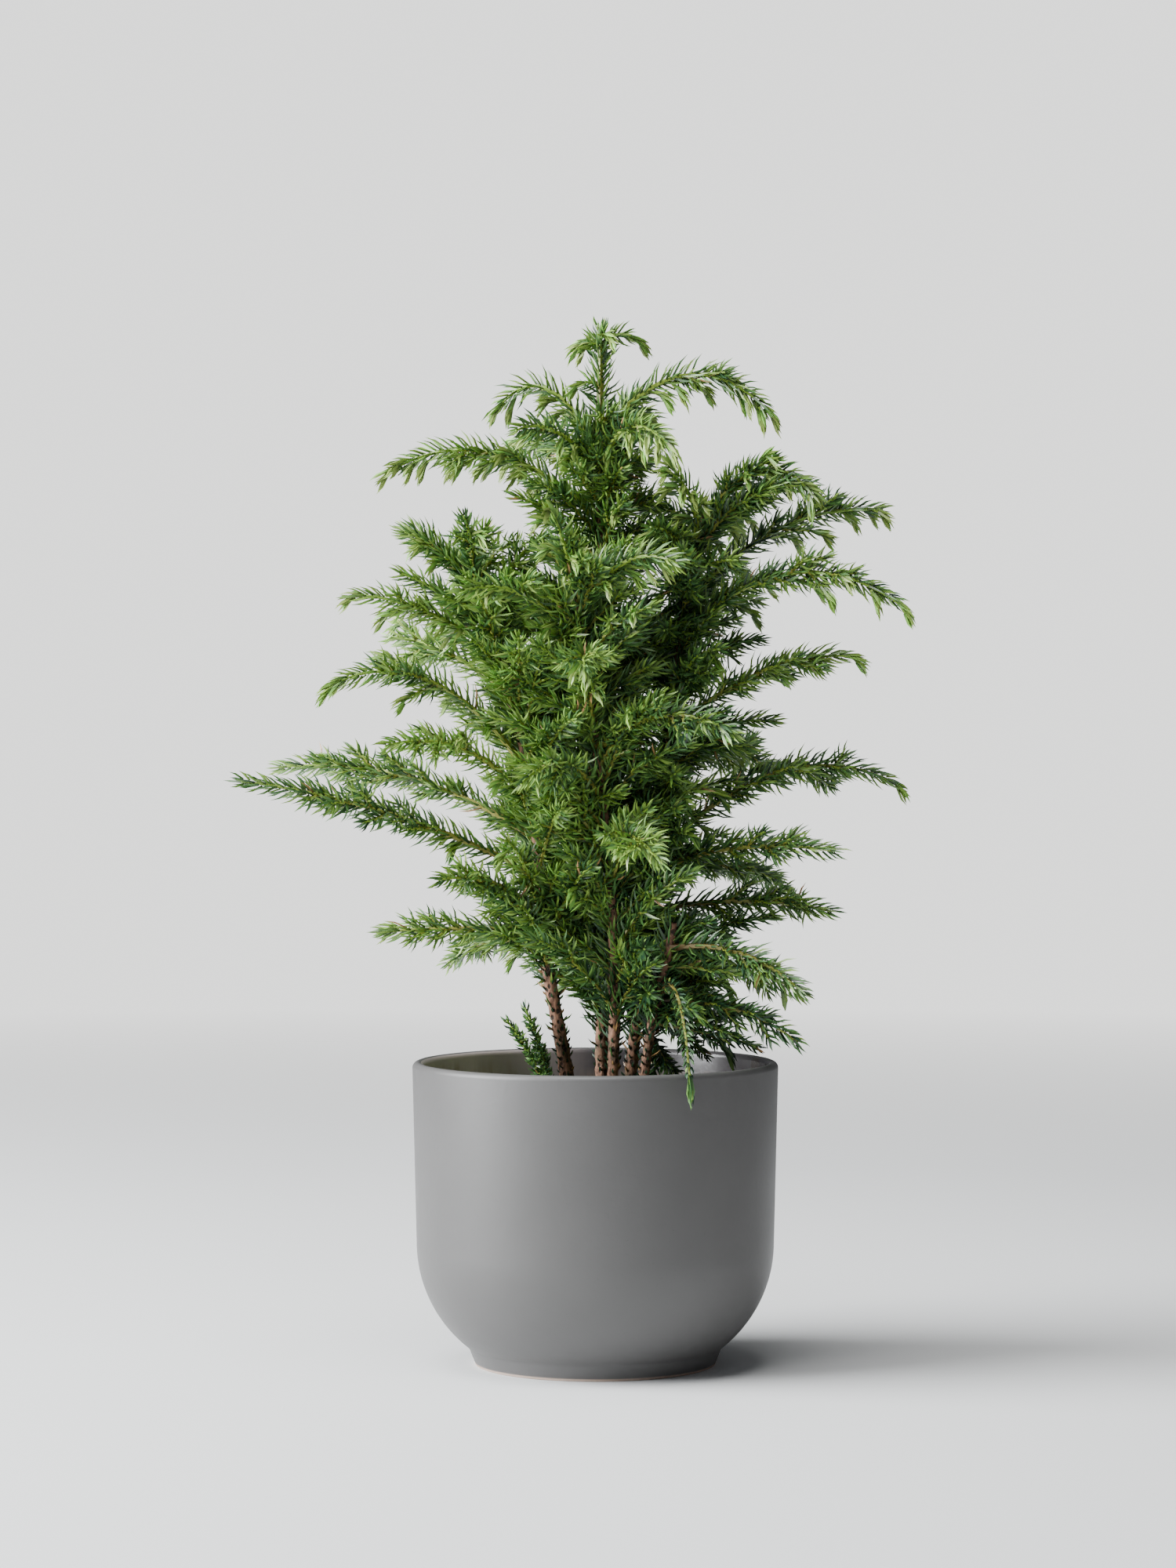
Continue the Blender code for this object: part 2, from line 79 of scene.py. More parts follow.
UPWARD = np.array((0.0, 0.0, 1.0))
GOLDEN_TURN = math.pi * (3 - math.sqrt(5))

# The needle map runs across from the darkest to the brightest needle, then dry needles,
# then the bark of the twigs. Up the map runs from a needle's base to its point.
TINT_LOW, TINT_HIGH = 0.02, 0.78
DRY_TINT = 0.84
BARK_LOW, BARK_HIGH = 0.905, 0.975


# ---- Settings -----------------------------------------------------------------------------
def length(name, description, default):
    return FloatProperty(name=name, description=description, default=default, unit="LENGTH", precision=4)


def colour(name, description, default):
    return FloatVectorProperty(name=name, description=description, default=default,
                               subtype="COLOR", size=3, min=0, max=1)


class PotSettings(bpy.types.PropertyGroup):
    wall: length("Wall", "Thickness of the pot's wall at the rim", 0.0046)
    floor: length("Floor", "Height of the floor inside the pot", 0.007)
    flare: length("Flare", "How much wider the rim is than the shoulder", 0.0017)
    shoulder: length("Shoulder height", "Where the straight side turns into the belly", 0.05)
    belly: length("Belly radius", "Radius of the rounded belly", 0.054)
    foot: length("Foot height", "Height of the short foot", 0.0075)
    foot_inset: length("Foot inset", "Step from the belly to the foot", 0.0012)
    foot_taper: length("Foot taper", "How much narrower the foot is at its bottom", 0.002)
    segments: IntProperty(name="Segments", description="Steps round the pot", default=168)
    glaze: colour("Glaze", "Satin glaze on the outside", (0.093, 0.091, 0.090))
    inner_glaze: colour("Inner glaze", "Glossier glaze inside the rim", (0.052, 0.047, 0.050))
    clay: colour("Clay", "Bare clay line under the foot", (0.52, 0.40, 0.33))
    # Painted light: this pale colour on the inner left wall stands in for the light that falls there.
    painted_inner_light: colour("Lime film", "Pale film where water has dried inside", (0.72, 0.60, 0.60))
    stain: colour("Stain", "Water stains inside the rim", (0.380, 0.270, 0.190))


class InsertSettings(bpy.types.PropertyGroup):
    ribs: IntProperty(name="Liner ribs", description="Steps down the side of the liner", default=5)
    rib_depth: length("Rib depth", "Depth of each step in the liner", 0.0006)
    wall: length("Liner wall", "Thickness of the liner", 0.0014)
    tufts: IntProperty(name="Moss tufts", description="Sprigs of moss", default=5200)
    tuft_length: length("Tuft length", "Length of a sprig of moss", 0.0036)
    litter: IntProperty(name="Litter", description="Fallen needles on the moss", default=150)
    moss: colour("Moss", "Live moss", (0.060, 0.085, 0.018))
    soil: colour("Soil", "Dark earth between the moss", (0.030, 0.020, 0.012))


class StemSettings(bpy.types.PropertyGroup):
    relief: length("Bark relief", "Depth of the bark's ridges", 0.0009)
    bare: length("Bare height", "Height of bare bark above the moss", 0.040)
    sprig_gap: length("Sprig gap", "Height between the sprigs of a stem", 0.0030)
    sprig: length("Sprig length", "Length of the longest sprigs", 0.060)
    plume: length("Low plume", "Length of the long low twig that droops past the rim", 0.067)
    bark: colour("Bark", "Red-brown bark", (0.235, 0.120, 0.075))
    scar: colour("Scars", "Needle scars and dark moss on the bark", (0.032, 0.020, 0.013))


class NeedleSettings(bpy.types.PropertyGroup):
    long: length("Long needles", "Needles on the main axis of a branch", 0.0092)
    short: length("Short needles", "Needles on side twigs", 0.0070)
    girth: length("Girth", "Half width of a needle at its base", 0.00050)
    pitch: length("Pitch", "Distance along a twig from one needle to the next", 0.00058)
    splay: FloatProperty(name="Splay", description="Angle from the twig to its needles",
                         default=math.radians(60), subtype="ANGLE")
    twig_gap: length("Twig gap", "Distance between the side twigs of one side", 0.0079)
    # The shaded needles' colour is painted shade for needles deep in the tree. The fresh needles' colour
    # is partly the yellow of young needles and partly painted light on needles in the light.
    shade: colour("Shaded needles", "Old needles deep in the tree", (0.018, 0.060, 0.028))
    middle: colour("Needles", "Most of the needles", (0.092, 0.214, 0.054))
    fresh_and_lit: colour("Fresh needles", "Yellow-green needles in the light", (0.262, 0.410, 0.066))
    bud: colour("New tips", "Soft drooping new tips", (0.235, 0.520, 0.095))
    dry: colour("Dry needles", "The few dead needles", (0.420, 0.240, 0.100))


class StageSettings(bpy.types.PropertyGroup):
    floor: colour("Floor", "Plain pale floor", (0.76, 0.77, 0.77))
    key: FloatProperty(name="Key light", description="Power of the soft light at the left",
                       default=168.0, unit="POWER")
    top: FloatProperty(name="Top light", description="Power of the light above",
                       default=37.0, unit="POWER")
    backdrop: FloatProperty(name="Backdrop", description="Brightness of the surroundings", default=1.75)
    reach: length("Floor reach", "Radius of the floor", 2.2)
    air: FloatProperty(name="Air", description="Strength of the light from all round", default=0.13)


# ---- Materials ----------------------------------------------------------------------------
class Nodes:
    """Short names for building one material's nodes."""

    def __init__(self, name, roughness=0.5, metallic=0.0):
        self.material = bpy.data.materials.new(name)
        self.material.use_nodes = True
        self.tree = self.material.node_tree
        self.shader = self.tree.nodes["Principled BSDF"]
        self.shader.inputs["Roughness"].default_value = roughness
        self.shader.inputs["Metallic"].default_value = metallic
        self.place = self.tree.nodes.new("ShaderNodeTexCoord").outputs["Object"]

    def add(self, kind, settings=None, **inputs):
        node = self.tree.nodes.new("ShaderNode" + kind)
        for name, value in (settings or {}).items():
            setattr(node, name, value)
        for name, value in inputs.items():
            self.feed(node.inputs[name.replace("_", " ")], value)
        return node

    def feed(self, socket, value):
        if isinstance(value, bpy.types.NodeSocket):
            self.tree.links.new(value, socket)
        elif socket.type == "RGBA":
            socket.default_value = (*value, 1)
        else:
            socket.default_value = value

    def math(self, operation, first, second):
        node = self.add("Math", {"operation": operation})
        self.feed(node.inputs[0], first)
        self.feed(node.inputs[1], second)
        return node.outputs[0]

    def stretch(self, *factors):
        """Object coordinates scaled by a factor for each axis."""
        node = self.add("Mapping", Vector=self.place)
        node.inputs["Scale"].default_value = factors
        return node.outputs[0]

    def noise(self, scale, detail=3.0, roughness=0.55, place=None, distortion=0.0):
        node = self.add("TexNoise", Vector=place or self.place, Scale=scale, Detail=detail,
                        Roughness=roughness, Distortion=distortion)
        return node.outputs["Fac"]

    def ramp(self, value, stops):
        """A colour ramp through (position, colour) stops."""
        node = self.add("ValToRGB", Fac=value)
        points = node.color_ramp.elements
        while len(points) < len(stops):
            points.new(0.5)
        for point, (position, shade) in zip(points, stops):
            point.position = position
            point.color = (*shade, 1)
        return node.outputs["Color"]

    def band(self, value, low, high, out_low=0.0, out_high=1.0):
        """A value mapped from one range to another, and kept inside it."""
        node = self.add("MapRange", Value=value)
        for i, number in enumerate((low, high, out_low, out_high), 1):
            node.inputs[i].default_value = number
        return node.outputs[0]

    def patches(self, scale, detail, low, high, out_low=0.0, out_high=1.0):
        """Noise mapped from one range to another."""
        return self.band(self.noise(scale, detail), low, high, out_low, out_high)

    def times(self, first, second):
        return self.math("MULTIPLY", first, second)

    def mix(self, factor, first, second, blend="MIX"):
        node = self.add("Mix", {"data_type": "RGBA", "blend_type": blend})
        self.feed(node.inputs[0], factor)
        self.feed(node.inputs[6], first)
        self.feed(node.inputs[7], second)
        return node.outputs[2]

    def paint(self, shade):
        self.feed(self.shader.inputs["Base Color"], shade)

    def rough(self, value):
        self.feed(self.shader.inputs["Roughness"], value)

    def bump(self, height, strength, distance):
        node = self.add("Bump", Height=height, Strength=strength, Distance=distance)
        self.feed(self.shader.inputs["Normal"], node.outputs[0])


def tuned(shade, factor):
    return tuple(min(1.0, part * factor) for part in shade)


def glaze_material(pot):
    """Satin grey outside, glossier and water-stained inside with painted light on the inner left wall, a
    painted highlight along the top of the rim, and bare clay under the foot.
    """
    make = Nodes("pot_glaze")
    x, _, z = make.add("SeparateXYZ", Vector=make.place).outputs
    clouds = make.noise(14.0, 4.0)
    outside = make.mix(make.band(clouds, 0.3, 0.7), tuned(pot.glaze, 0.93), tuned(pot.glaze, 1.07))
    specks = make.patches(900.0, 2.0, 0.66, 0.74, 0.0, 0.18)
    outside = make.mix(specks, outside, tuned(pot.glaze, 0.6))
    streaks = make.noise(1.0, 5.0, 0.65, make.stretch(95.0, 95.0, 16.0), 0.6)
    # Mask for the inner left wall, which carries the painted light and the stain streaks.
    left = make.band(x, -0.052, 0.0, 1.0, 0.0)
    low = make.band(z, 0.1215, 0.112, 0.0, 1.0)
    marks = make.times(make.band(streaks, 0.47, 0.62), left)
    marks = make.times(marks, low)
    ring = make.times(make.band(streaks, 0.40, 0.62, 0.0, 0.55), make.band(z, 0.116, 0.109))
    # Painted light: the inner left wall is painted pale, the rest of the inside keeps the darker inner
    # glaze.
    inside = make.mix(left, pot.inner_glaze, pot.painted_inner_light)
    inside = make.mix(make.math("MAXIMUM", marks, ring), inside, pot.stain)
    inner = make.add("Attribute", {"attribute_name": "lining"}).outputs["Fac"]
    smudge = make.add("VectorMath", {"operation": "DISTANCE"})
    make.feed(smudge.inputs[0], make.place)
    smudge.inputs[1].default_value = (0.0665, 0.0215, 0.1195)
    near = make.math("ADD", smudge.outputs["Value"], make.times(make.noise(320.0, 3.0), 0.007))
    inside = make.mix(make.band(near, 0.0095, 0.0075), inside, tuned(pot.stain, 0.1))
    # Painted highlight: a lighter band along the top of the rim.
    lip = make.band(z, POT_HIGH.z - 0.0012, POT_HIGH.z - 0.0002, 0.0, 0.35)
    body = make.mix(lip, outside, tuned(pot.glaze, 1.35))
    body = make.mix(inner, body, inside)
    foot = make.band(z, 0.0013, 0.0007)
    grit = make.mix(make.noise(700.0, 3.0), tuned(pot.clay, 0.75), pot.clay)
    make.paint(make.mix(foot, body, grit))
    satin = make.patches(30.0, 3.0, 0.3, 0.7, 0.40, 0.46)
    gloss = make.math("SUBTRACT", satin, make.times(inner, 0.2))
    make.rough(make.math("ADD", gloss, make.times(foot, 0.4)))
    peel = make.math("ADD", make.noise(420.0, 2.0), make.times(clouds, 2.0))
    make.bump(peel, 0.10, 0.0004)
    return make.material


def liner_material():
    make = Nodes("liner_plastic", 0.45)
    fine = make.noise(800.0, 3.0)
    scuffs = make.band(make.noise(1.0, 4.0, 0.7, make.stretch(60.0, 60.0, 700.0)), 0.55, 0.7)
    make.paint(make.mix(scuffs, (0.018, 0.019, 0.019), (0.050, 0.050, 0.050)))
    make.rough(make.band(fine, 0.3, 0.7, 0.38, 0.58))
    make.bump(fine, 0.15, 0.0002)
    return make.material


def cement_material():
    make = Nodes("cement", 0.92)
    grain = make.noise(260.0, 6.0, 0.7)
    pits = make.add("TexVoronoi", Vector=make.place, Scale=240.0)
    holes = make.band(pits.outputs["Distance"], 0.05, 0.2)
    tone = make.ramp(grain, [(0.3, (0.27, 0.25, 0.23)), (0.7, (0.50, 0.48, 0.45))])
    make.paint(make.mix(holes, (0.13, 0.12, 0.11), tone))
    make.bump(make.math("ADD", grain, holes), 0.5, 0.0006)
    return make.material


def foam_material():
    make = Nodes("foam", 0.97)
    cells = make.add("TexVoronoi", Vector=make.place, Scale=900.0)
    tone = make.ramp(make.noise(50.0, 4.0), [(0.3, (0.13, 0.19, 0.07)), (0.7, (0.24, 0.31, 0.13))])
    dark = make.band(cells.outputs["Distance"], 0.1, 0.6, 0.55, 1.0)
    make.paint(make.mix(dark, (0.05, 0.08, 0.02), tone))
    make.bump(cells.outputs["Distance"], 0.6, 0.0005)
    return make.material


def steel_material():
    make = Nodes("core_steel", 0.32, 1.0)
    drawn = make.noise(1.0, 3.0, 0.6, make.stretch(2600.0, 2600.0, 40.0))
    make.paint(make.ramp(drawn, [(0.3, (0.40, 0.40, 0.41)), (0.7, (0.58, 0.58, 0.57))]))
    make.rough(make.band(drawn, 0.3, 0.7, 0.24, 0.42))
    make.bump(drawn, 0.1, 0.0001)
    return make.material


def moss_material(insert):
    make = Nodes("moss", 0.95)
    patches = make.noise(70.0, 5.0, 0.6)
    moss = insert.moss
    tone = make.ramp(patches, [(0.30, insert.soil), (0.45, tuned(moss, 0.7)), (0.60, moss),
                               (0.75, tuned(moss, 1.9))])
    grains = make.patches(900.0, 2.0, 0.6, 0.7)
    make.paint(make.mix(grains, tone, (0.16, 0.115, 0.06)))
    make.bump(make.noise(600.0, 4.0, 0.7), 0.7, 0.0009)
    return make.material


def bark_material(stem):
    """Red-brown bark with dark scars, darker and mossy near the ground."""
    make = Nodes("bark", 0.86)
    z = make.add("SeparateXYZ", Vector=make.place).outputs[2]
    flakes = make.noise(1.0, 5.0, 0.65, make.stretch(520.0, 520.0, 210.0))
    scars = make.add("TexVoronoi", Scale=1.0, Vector=make.stretch(420.0, 420.0, 300.0))
    dots = make.band(scars.outputs["Distance"], 0.22, 0.42)
    bark = stem.bark
    tone = make.ramp(flakes, [(0.36, tuned(bark, 0.30)), (0.5, bark), (0.66, tuned(bark, 1.7))])
    low = make.times(make.patches(90.0, 3.0, 0.42, 0.62), make.band(z, 0.150, 0.108, 0.0, 0.75))
    tone = make.mix(low, tone, (0.040, 0.042, 0.014))
    make.paint(make.mix(dots, stem.scar, tone))
    make.bump(make.math("ADD", flakes, dots), 0.8, 0.0007)
    return make.material


def needle_material(needles):
    """Waxy needles: the map's first axis picks the tint, painted light and shade included, and its
    second runs to the point, with painted shade towards each needle's base.
    """
    make = Nodes("needles", 0.35)
    make.shader.inputs["Specular IOR Level"].default_value = 0.5
    spots = make.add("UVMap", {"uv_map": "OFBake"}).outputs[0]
    across, along, _ = make.add("SeparateXYZ", Vector=spots).outputs
    # From painted shade through the middle needles to painted light on lit needles, then the new tips
    # and the dry needles.
    green = make.ramp(across, [(0.05, needles.shade), (0.34, needles.middle),
                               (0.58, needles.fresh_and_lit), (0.76, needles.bud),
                               (0.815, needles.dry)])
    # Painted shade: each needle darker towards its base, where the needles crowd the twig.
    depth = make.ramp(along, [(0.0, (0.20, 0.24, 0.24)), (0.40, (0.78, 0.80, 0.78)),
                              (0.9, (1.0, 1.0, 1.0))])
    needle = make.mix(1.0, green, depth, "MULTIPLY")
    bark = make.ramp(along, [(0.0, (0.110, 0.050, 0.025)), (0.45, (0.270, 0.260, 0.045)),
                             (1.0, (0.230, 0.400, 0.050))])
    make.paint(make.mix(make.band(across, 0.88, 0.89), needle, bark))
    return make.material


def stage_material(stage):
    make = Nodes("stage", 0.85)
    soft = make.noise(3.0, 3.0)
    make.paint(make.mix(soft, tuned(stage.floor, 0.985), stage.floor))
    make.bump(make.noise(160.0, 3.0), 0.03, 0.001)
    far = make.add("VectorMath", {"operation": "LENGTH"})
    make.feed(far.inputs[0], make.place)
    fade = make.band(far.outputs["Value"], stage.reach * 0.98, stage.reach * 0.35)
    make.feed(make.shader.inputs["Alpha"], fade)
    return make.material


# ---- Modelling ----------------------------------------------------------------------------
def start(name):
    """Name the primitive that was just added and put it into edit mode, all selected."""
    item = bpy.context.object
    item.name = name
    bpy.ops.object.mode_set(mode="EDIT")
    return item


def clear_selection():
    bpy.ops.object.select_all(action="DESELECT")


def finish_piece(item, material, body, nodes, angle=35):
    """Bake the place into the mesh, smooth it, and hand the piece to the frame."""
    clear_selection()
    item.select_set(True)
    bpy.context.view_layer.objects.active = item
    bpy.ops.object.transform_apply(location=True, rotation=True, scale=True)
    bpy.ops.object.shade_smooth_by_angle(angle=math.radians(angle))
    item.data.materials.clear()
    item.data.materials.append(material)
    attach(item, body)
    if nodes:
        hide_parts(*nodes)


def turned(name, profile, segments):
    """A turned piece: a disc at the first point, extruded and scaled through the others."""
    clear_selection()
    radius, height = profile[0]
    bpy.ops.mesh.primitive_circle_add(vertices=segments, radius=radius, fill_type="NGON",
                                      location=(0, 0, height))
    item = start(name)
    for new_radius, new_height in profile[1:]:
        bpy.ops.mesh.extrude_region_move(TRANSFORM_OT_translate={"value": (0, 0, new_height - height)})
        scale = new_radius / radius
        bpy.ops.transform.resize(value=(scale, scale, 1), center_override=(0, 0, new_height))
        radius, height = new_radius, new_height
    bpy.ops.mesh.select_all(action="SELECT")
    bpy.ops.mesh.normals_make_consistent(inside=False)
    bpy.ops.object.mode_set(mode="OBJECT")
    return item


def arc(centre, radius, first, last, steps):
    """Points on an arc in the profile plane, with its angles in degrees."""
    turns = [math.radians(first + (last - first) * i / steps) for i in range(steps + 1)]
    return [(centre[0] + radius * math.cos(turn), centre[1] + radius * math.sin(turn)) for turn in turns]


def bend(first, corner, last, steps):
    """A soft corner between two points, without its two ends."""
    shares = [i / steps for i in range(1, steps)]
    return [tuple((1 - s) ** 2 * a + 2 * s * (1 - s) * b + s * s * c
                  for a, b, c in zip(first, corner, last)) for s in shares]


def pot_profile(pot):
    rim, top = POT_HIGH.x, POT_HIGH.z
    shoulder = rim - pot.flare
    centre = (shoulder - pot.belly, pot.shoulder)
    inner = pot.belly - pot.wall
    foot_angle = math.degrees(math.asin((pot.shoulder - pot.foot) / pot.belly))
    floor_angle = math.degrees(math.asin((pot.shoulder - pot.floor) / inner))
    belly = arc(centre, pot.belly, -foot_angle, 0, 22)
    foot_top = belly[0][0] - pot.foot_inset
    foot = foot_top - pot.foot_taper
    neck = (foot_top - 0.0002, pot.foot - 0.0024)
    lip = pot.wall / 2
    return [(foot - 0.0007, 0), (foot - 0.0002, 0.0002), (foot, 0.0007), neck,
            *bend(neck, (foot_top + 0.0002, pot.foot - 0.0008), belly[0], 5), *belly,
            *arc((rim - lip, top - lip), lip, 0, 180, 14),
            *arc(centre, inner, 0, -floor_angle, 12)]


def liner_profile(insert):
    """A stepped liner: down the inside of its wall is one smooth cone."""
    low, high, rim = LINER_LOW.z, LINER_HIGH.z, LINER_HIGH.x
    base = max(vertex.co.xy.length for vertex in frame["nodes"]["liner"].data.vertices
               if vertex.co.z < low + 0.0005)
    points = [(base - 0.002, low), (base, low + 0.001)]
    for i in range(insert.ribs):
        share = (i + 1) / (insert.ribs + 0.35)
        radius = base + (rim - base) * share
        height = low + (high - low) * share
        points += [(radius - insert.rib_depth, height - 0.001), (radius, height)]
    return points + [(rim - 0.0002, high - 0.002), (rim, high - 0.0004), (rim - 0.0004, high),
                     (rim - insert.wall, high), (base - insert.wall, low + 0.0016)]


def roughen(item, texture, scale, **relief):
    """Press a texture's relief into the active piece."""
    texture.noise_scale = scale
    press = item.modifiers.new("relief", "DISPLACE")
    press.texture = texture
    press.texture_coords = "LOCAL"
    for name, value in relief.items():
        setattr(press, name, value)
    bpy.ops.object.modifier_apply(modifier=press.name)


# ---- Middle lines of the CAD solids -------------------------------------------------------
def slices(node, origin, direction, shares):
    """Cut a node across a direction and give the middle and half extents of each cut.

    The cuts stand at shares of the node's reach from origin. Each row is the middle point,
    then the half extent along the level side direction and the half extent upward.
    """
    mesh = frame["nodes"][node].data
    mesh.calc_loop_triangles()
    points = np.array([vertex.co for vertex in mesh.vertices])
    corners = np.array([triangle.vertices for triangle in mesh.loop_triangles])
    ahead = (points - origin) @ direction
    side = np.cross(UPWARD, direction)
    if np.linalg.norm(side) < 0.1:
        side = np.array((1.0, 0.0, 0.0))
    up = np.cross(direction, side)
    starts = points[corners].reshape(-1, 3)
    ends = points[np.roll(corners, -1, 1)].reshape(-1, 3)
    a, b = ahead[corners].reshape(-1), ahead[np.roll(corners, -1, 1)].reshape(-1)
    rows = []
    for share in shares:
        level = ahead.max() * share
        crossed = (a - level) * (b - level) < 0
        part = ((level - a[crossed]) / (b[crossed] - a[crossed]))[:, None]
        cut = starts[crossed] * (1 - part) + ends[crossed] * part - origin
        middle = origin + direction * level
        extents = []
        for axis in (side, up):
            reach = cut @ axis
            middle = middle + axis * (reach.max() + reach.min()) / 2
            extents.append((reach.max() - reach.min()) / 2)
        rows.append((middle, *extents))
    return rows


def branch_line(name):
    """The middle points, half widths and outward direction of a branch."""
    hinge = HINGES[name]
    root = np.array(hinge["pos_m"])
    axis = np.array(hinge["axis"])
    outward = UPWARD if name == "leader" else np.cross(UPWARD, axis)
    rows = slices(name, root, outward, [0.02, *np.linspace(0.1, 0.96, 12)])
    points = np.array([root] + [row[0] for row in rows[1:]])
    widths = np.array([0.0015] + [row[1] for row in rows[1:]])
    tip = points[-1] + (points[-1] - points[-2]) * 0.5
    return np.vstack((points, tip)), np.append(widths, 0.0025), outward


def stem_line(name):
    """Middle points up a stem, and its radius at each of them."""
    low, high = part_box(name)
    base = np.array((0.0, 0.0, low.z))
    rows = slices(name, base, UPWARD, np.linspace(0.02, 0.995, 60))
    return np.array([row[0] for row in rows]), np.array([row[1] for row in rows])


# ---- Curves through space -----------------------------------------------------------------
def lengths(points):
    """How far along a line of points each one is."""
    steps = np.linalg.norm(np.diff(points, axis=0), axis=1)
    return np.concatenate(([0.0], np.cumsum(steps)))


def compass(turn):
    """The level direction at a bearing."""
    return np.array((math.cos(turn), math.sin(turn), 0.0))


def along(points, spacing):
    """Points at an even spacing along a line of points, with the length to each one."""
    reach = lengths(points)
    count = max(2, int(round(reach[-1] / spacing)) + 1)
    marks = np.linspace(0, reach[-1], count)
    places = np.stack([np.interp(marks, reach, points[:, k]) for k in range(3)], 1)
    return smooth(places), marks


def smooth(points, rounds=2):
    for _ in range(rounds):
        if len(points) > 2:
            inner = (points[:-2] + points[1:-1] * 2 + points[2:]) / 4
            points = np.vstack((points[:1], inner, points[-1:]))
    return points


def unit(vectors):
    return vectors / np.maximum(np.linalg.norm(vectors, axis=-1, keepdims=True), 1e-9)


def across(tangents):
    """Two directions square to each tangent."""
    spare = np.where(np.abs(tangents[:, 2:3]) > 0.9, (1.0, 0.0, 0.0), (0.0, 0.0, 1.0))
    side = unit(np.cross(spare, tangents))
    return side, np.cross(tangents, side)


# ---- Foliage ------------------------------------------------------------------------------
def needle_kit(scene):
    """What all foliage shares: the settings, the finish and the one modelled needle."""
    settings = scene.tree_needles
    return settings, needle_material(settings), model_needle()


def model_needle():
    """One straight needle of unit length and girth, modelled from a three-sided disc."""
    clear_selection()
    bpy.ops.mesh.primitive_circle_add(vertices=3, radius=1.0, fill_type="NGON")
    item = start("needle")
    bpy.ops.mesh.extrude_region_move(TRANSFORM_OT_translate={"value": (0, 0, 0.62)})
    bpy.ops.transform.resize(value=(0.92, 0.92, 1), center_override=(0, 0, 0.62))
    bpy.ops.mesh.extrude_region_move(TRANSFORM_OT_translate={"value": (0, 0, 0.38)})
    bpy.ops.mesh.merge(type="CENTER")
    bpy.ops.mesh.select_all(action="SELECT")
    bpy.ops.mesh.quads_convert_to_tris()
    bpy.ops.mesh.normals_make_consistent(inside=False)
    bpy.ops.object.mode_set(mode="OBJECT")
    shape = np.array([vertex.co for vertex in item.data.vertices])
    faces = np.array([face.vertices for face in item.data.polygons])
    bpy.data.objects.remove(item)
    return shape, faces


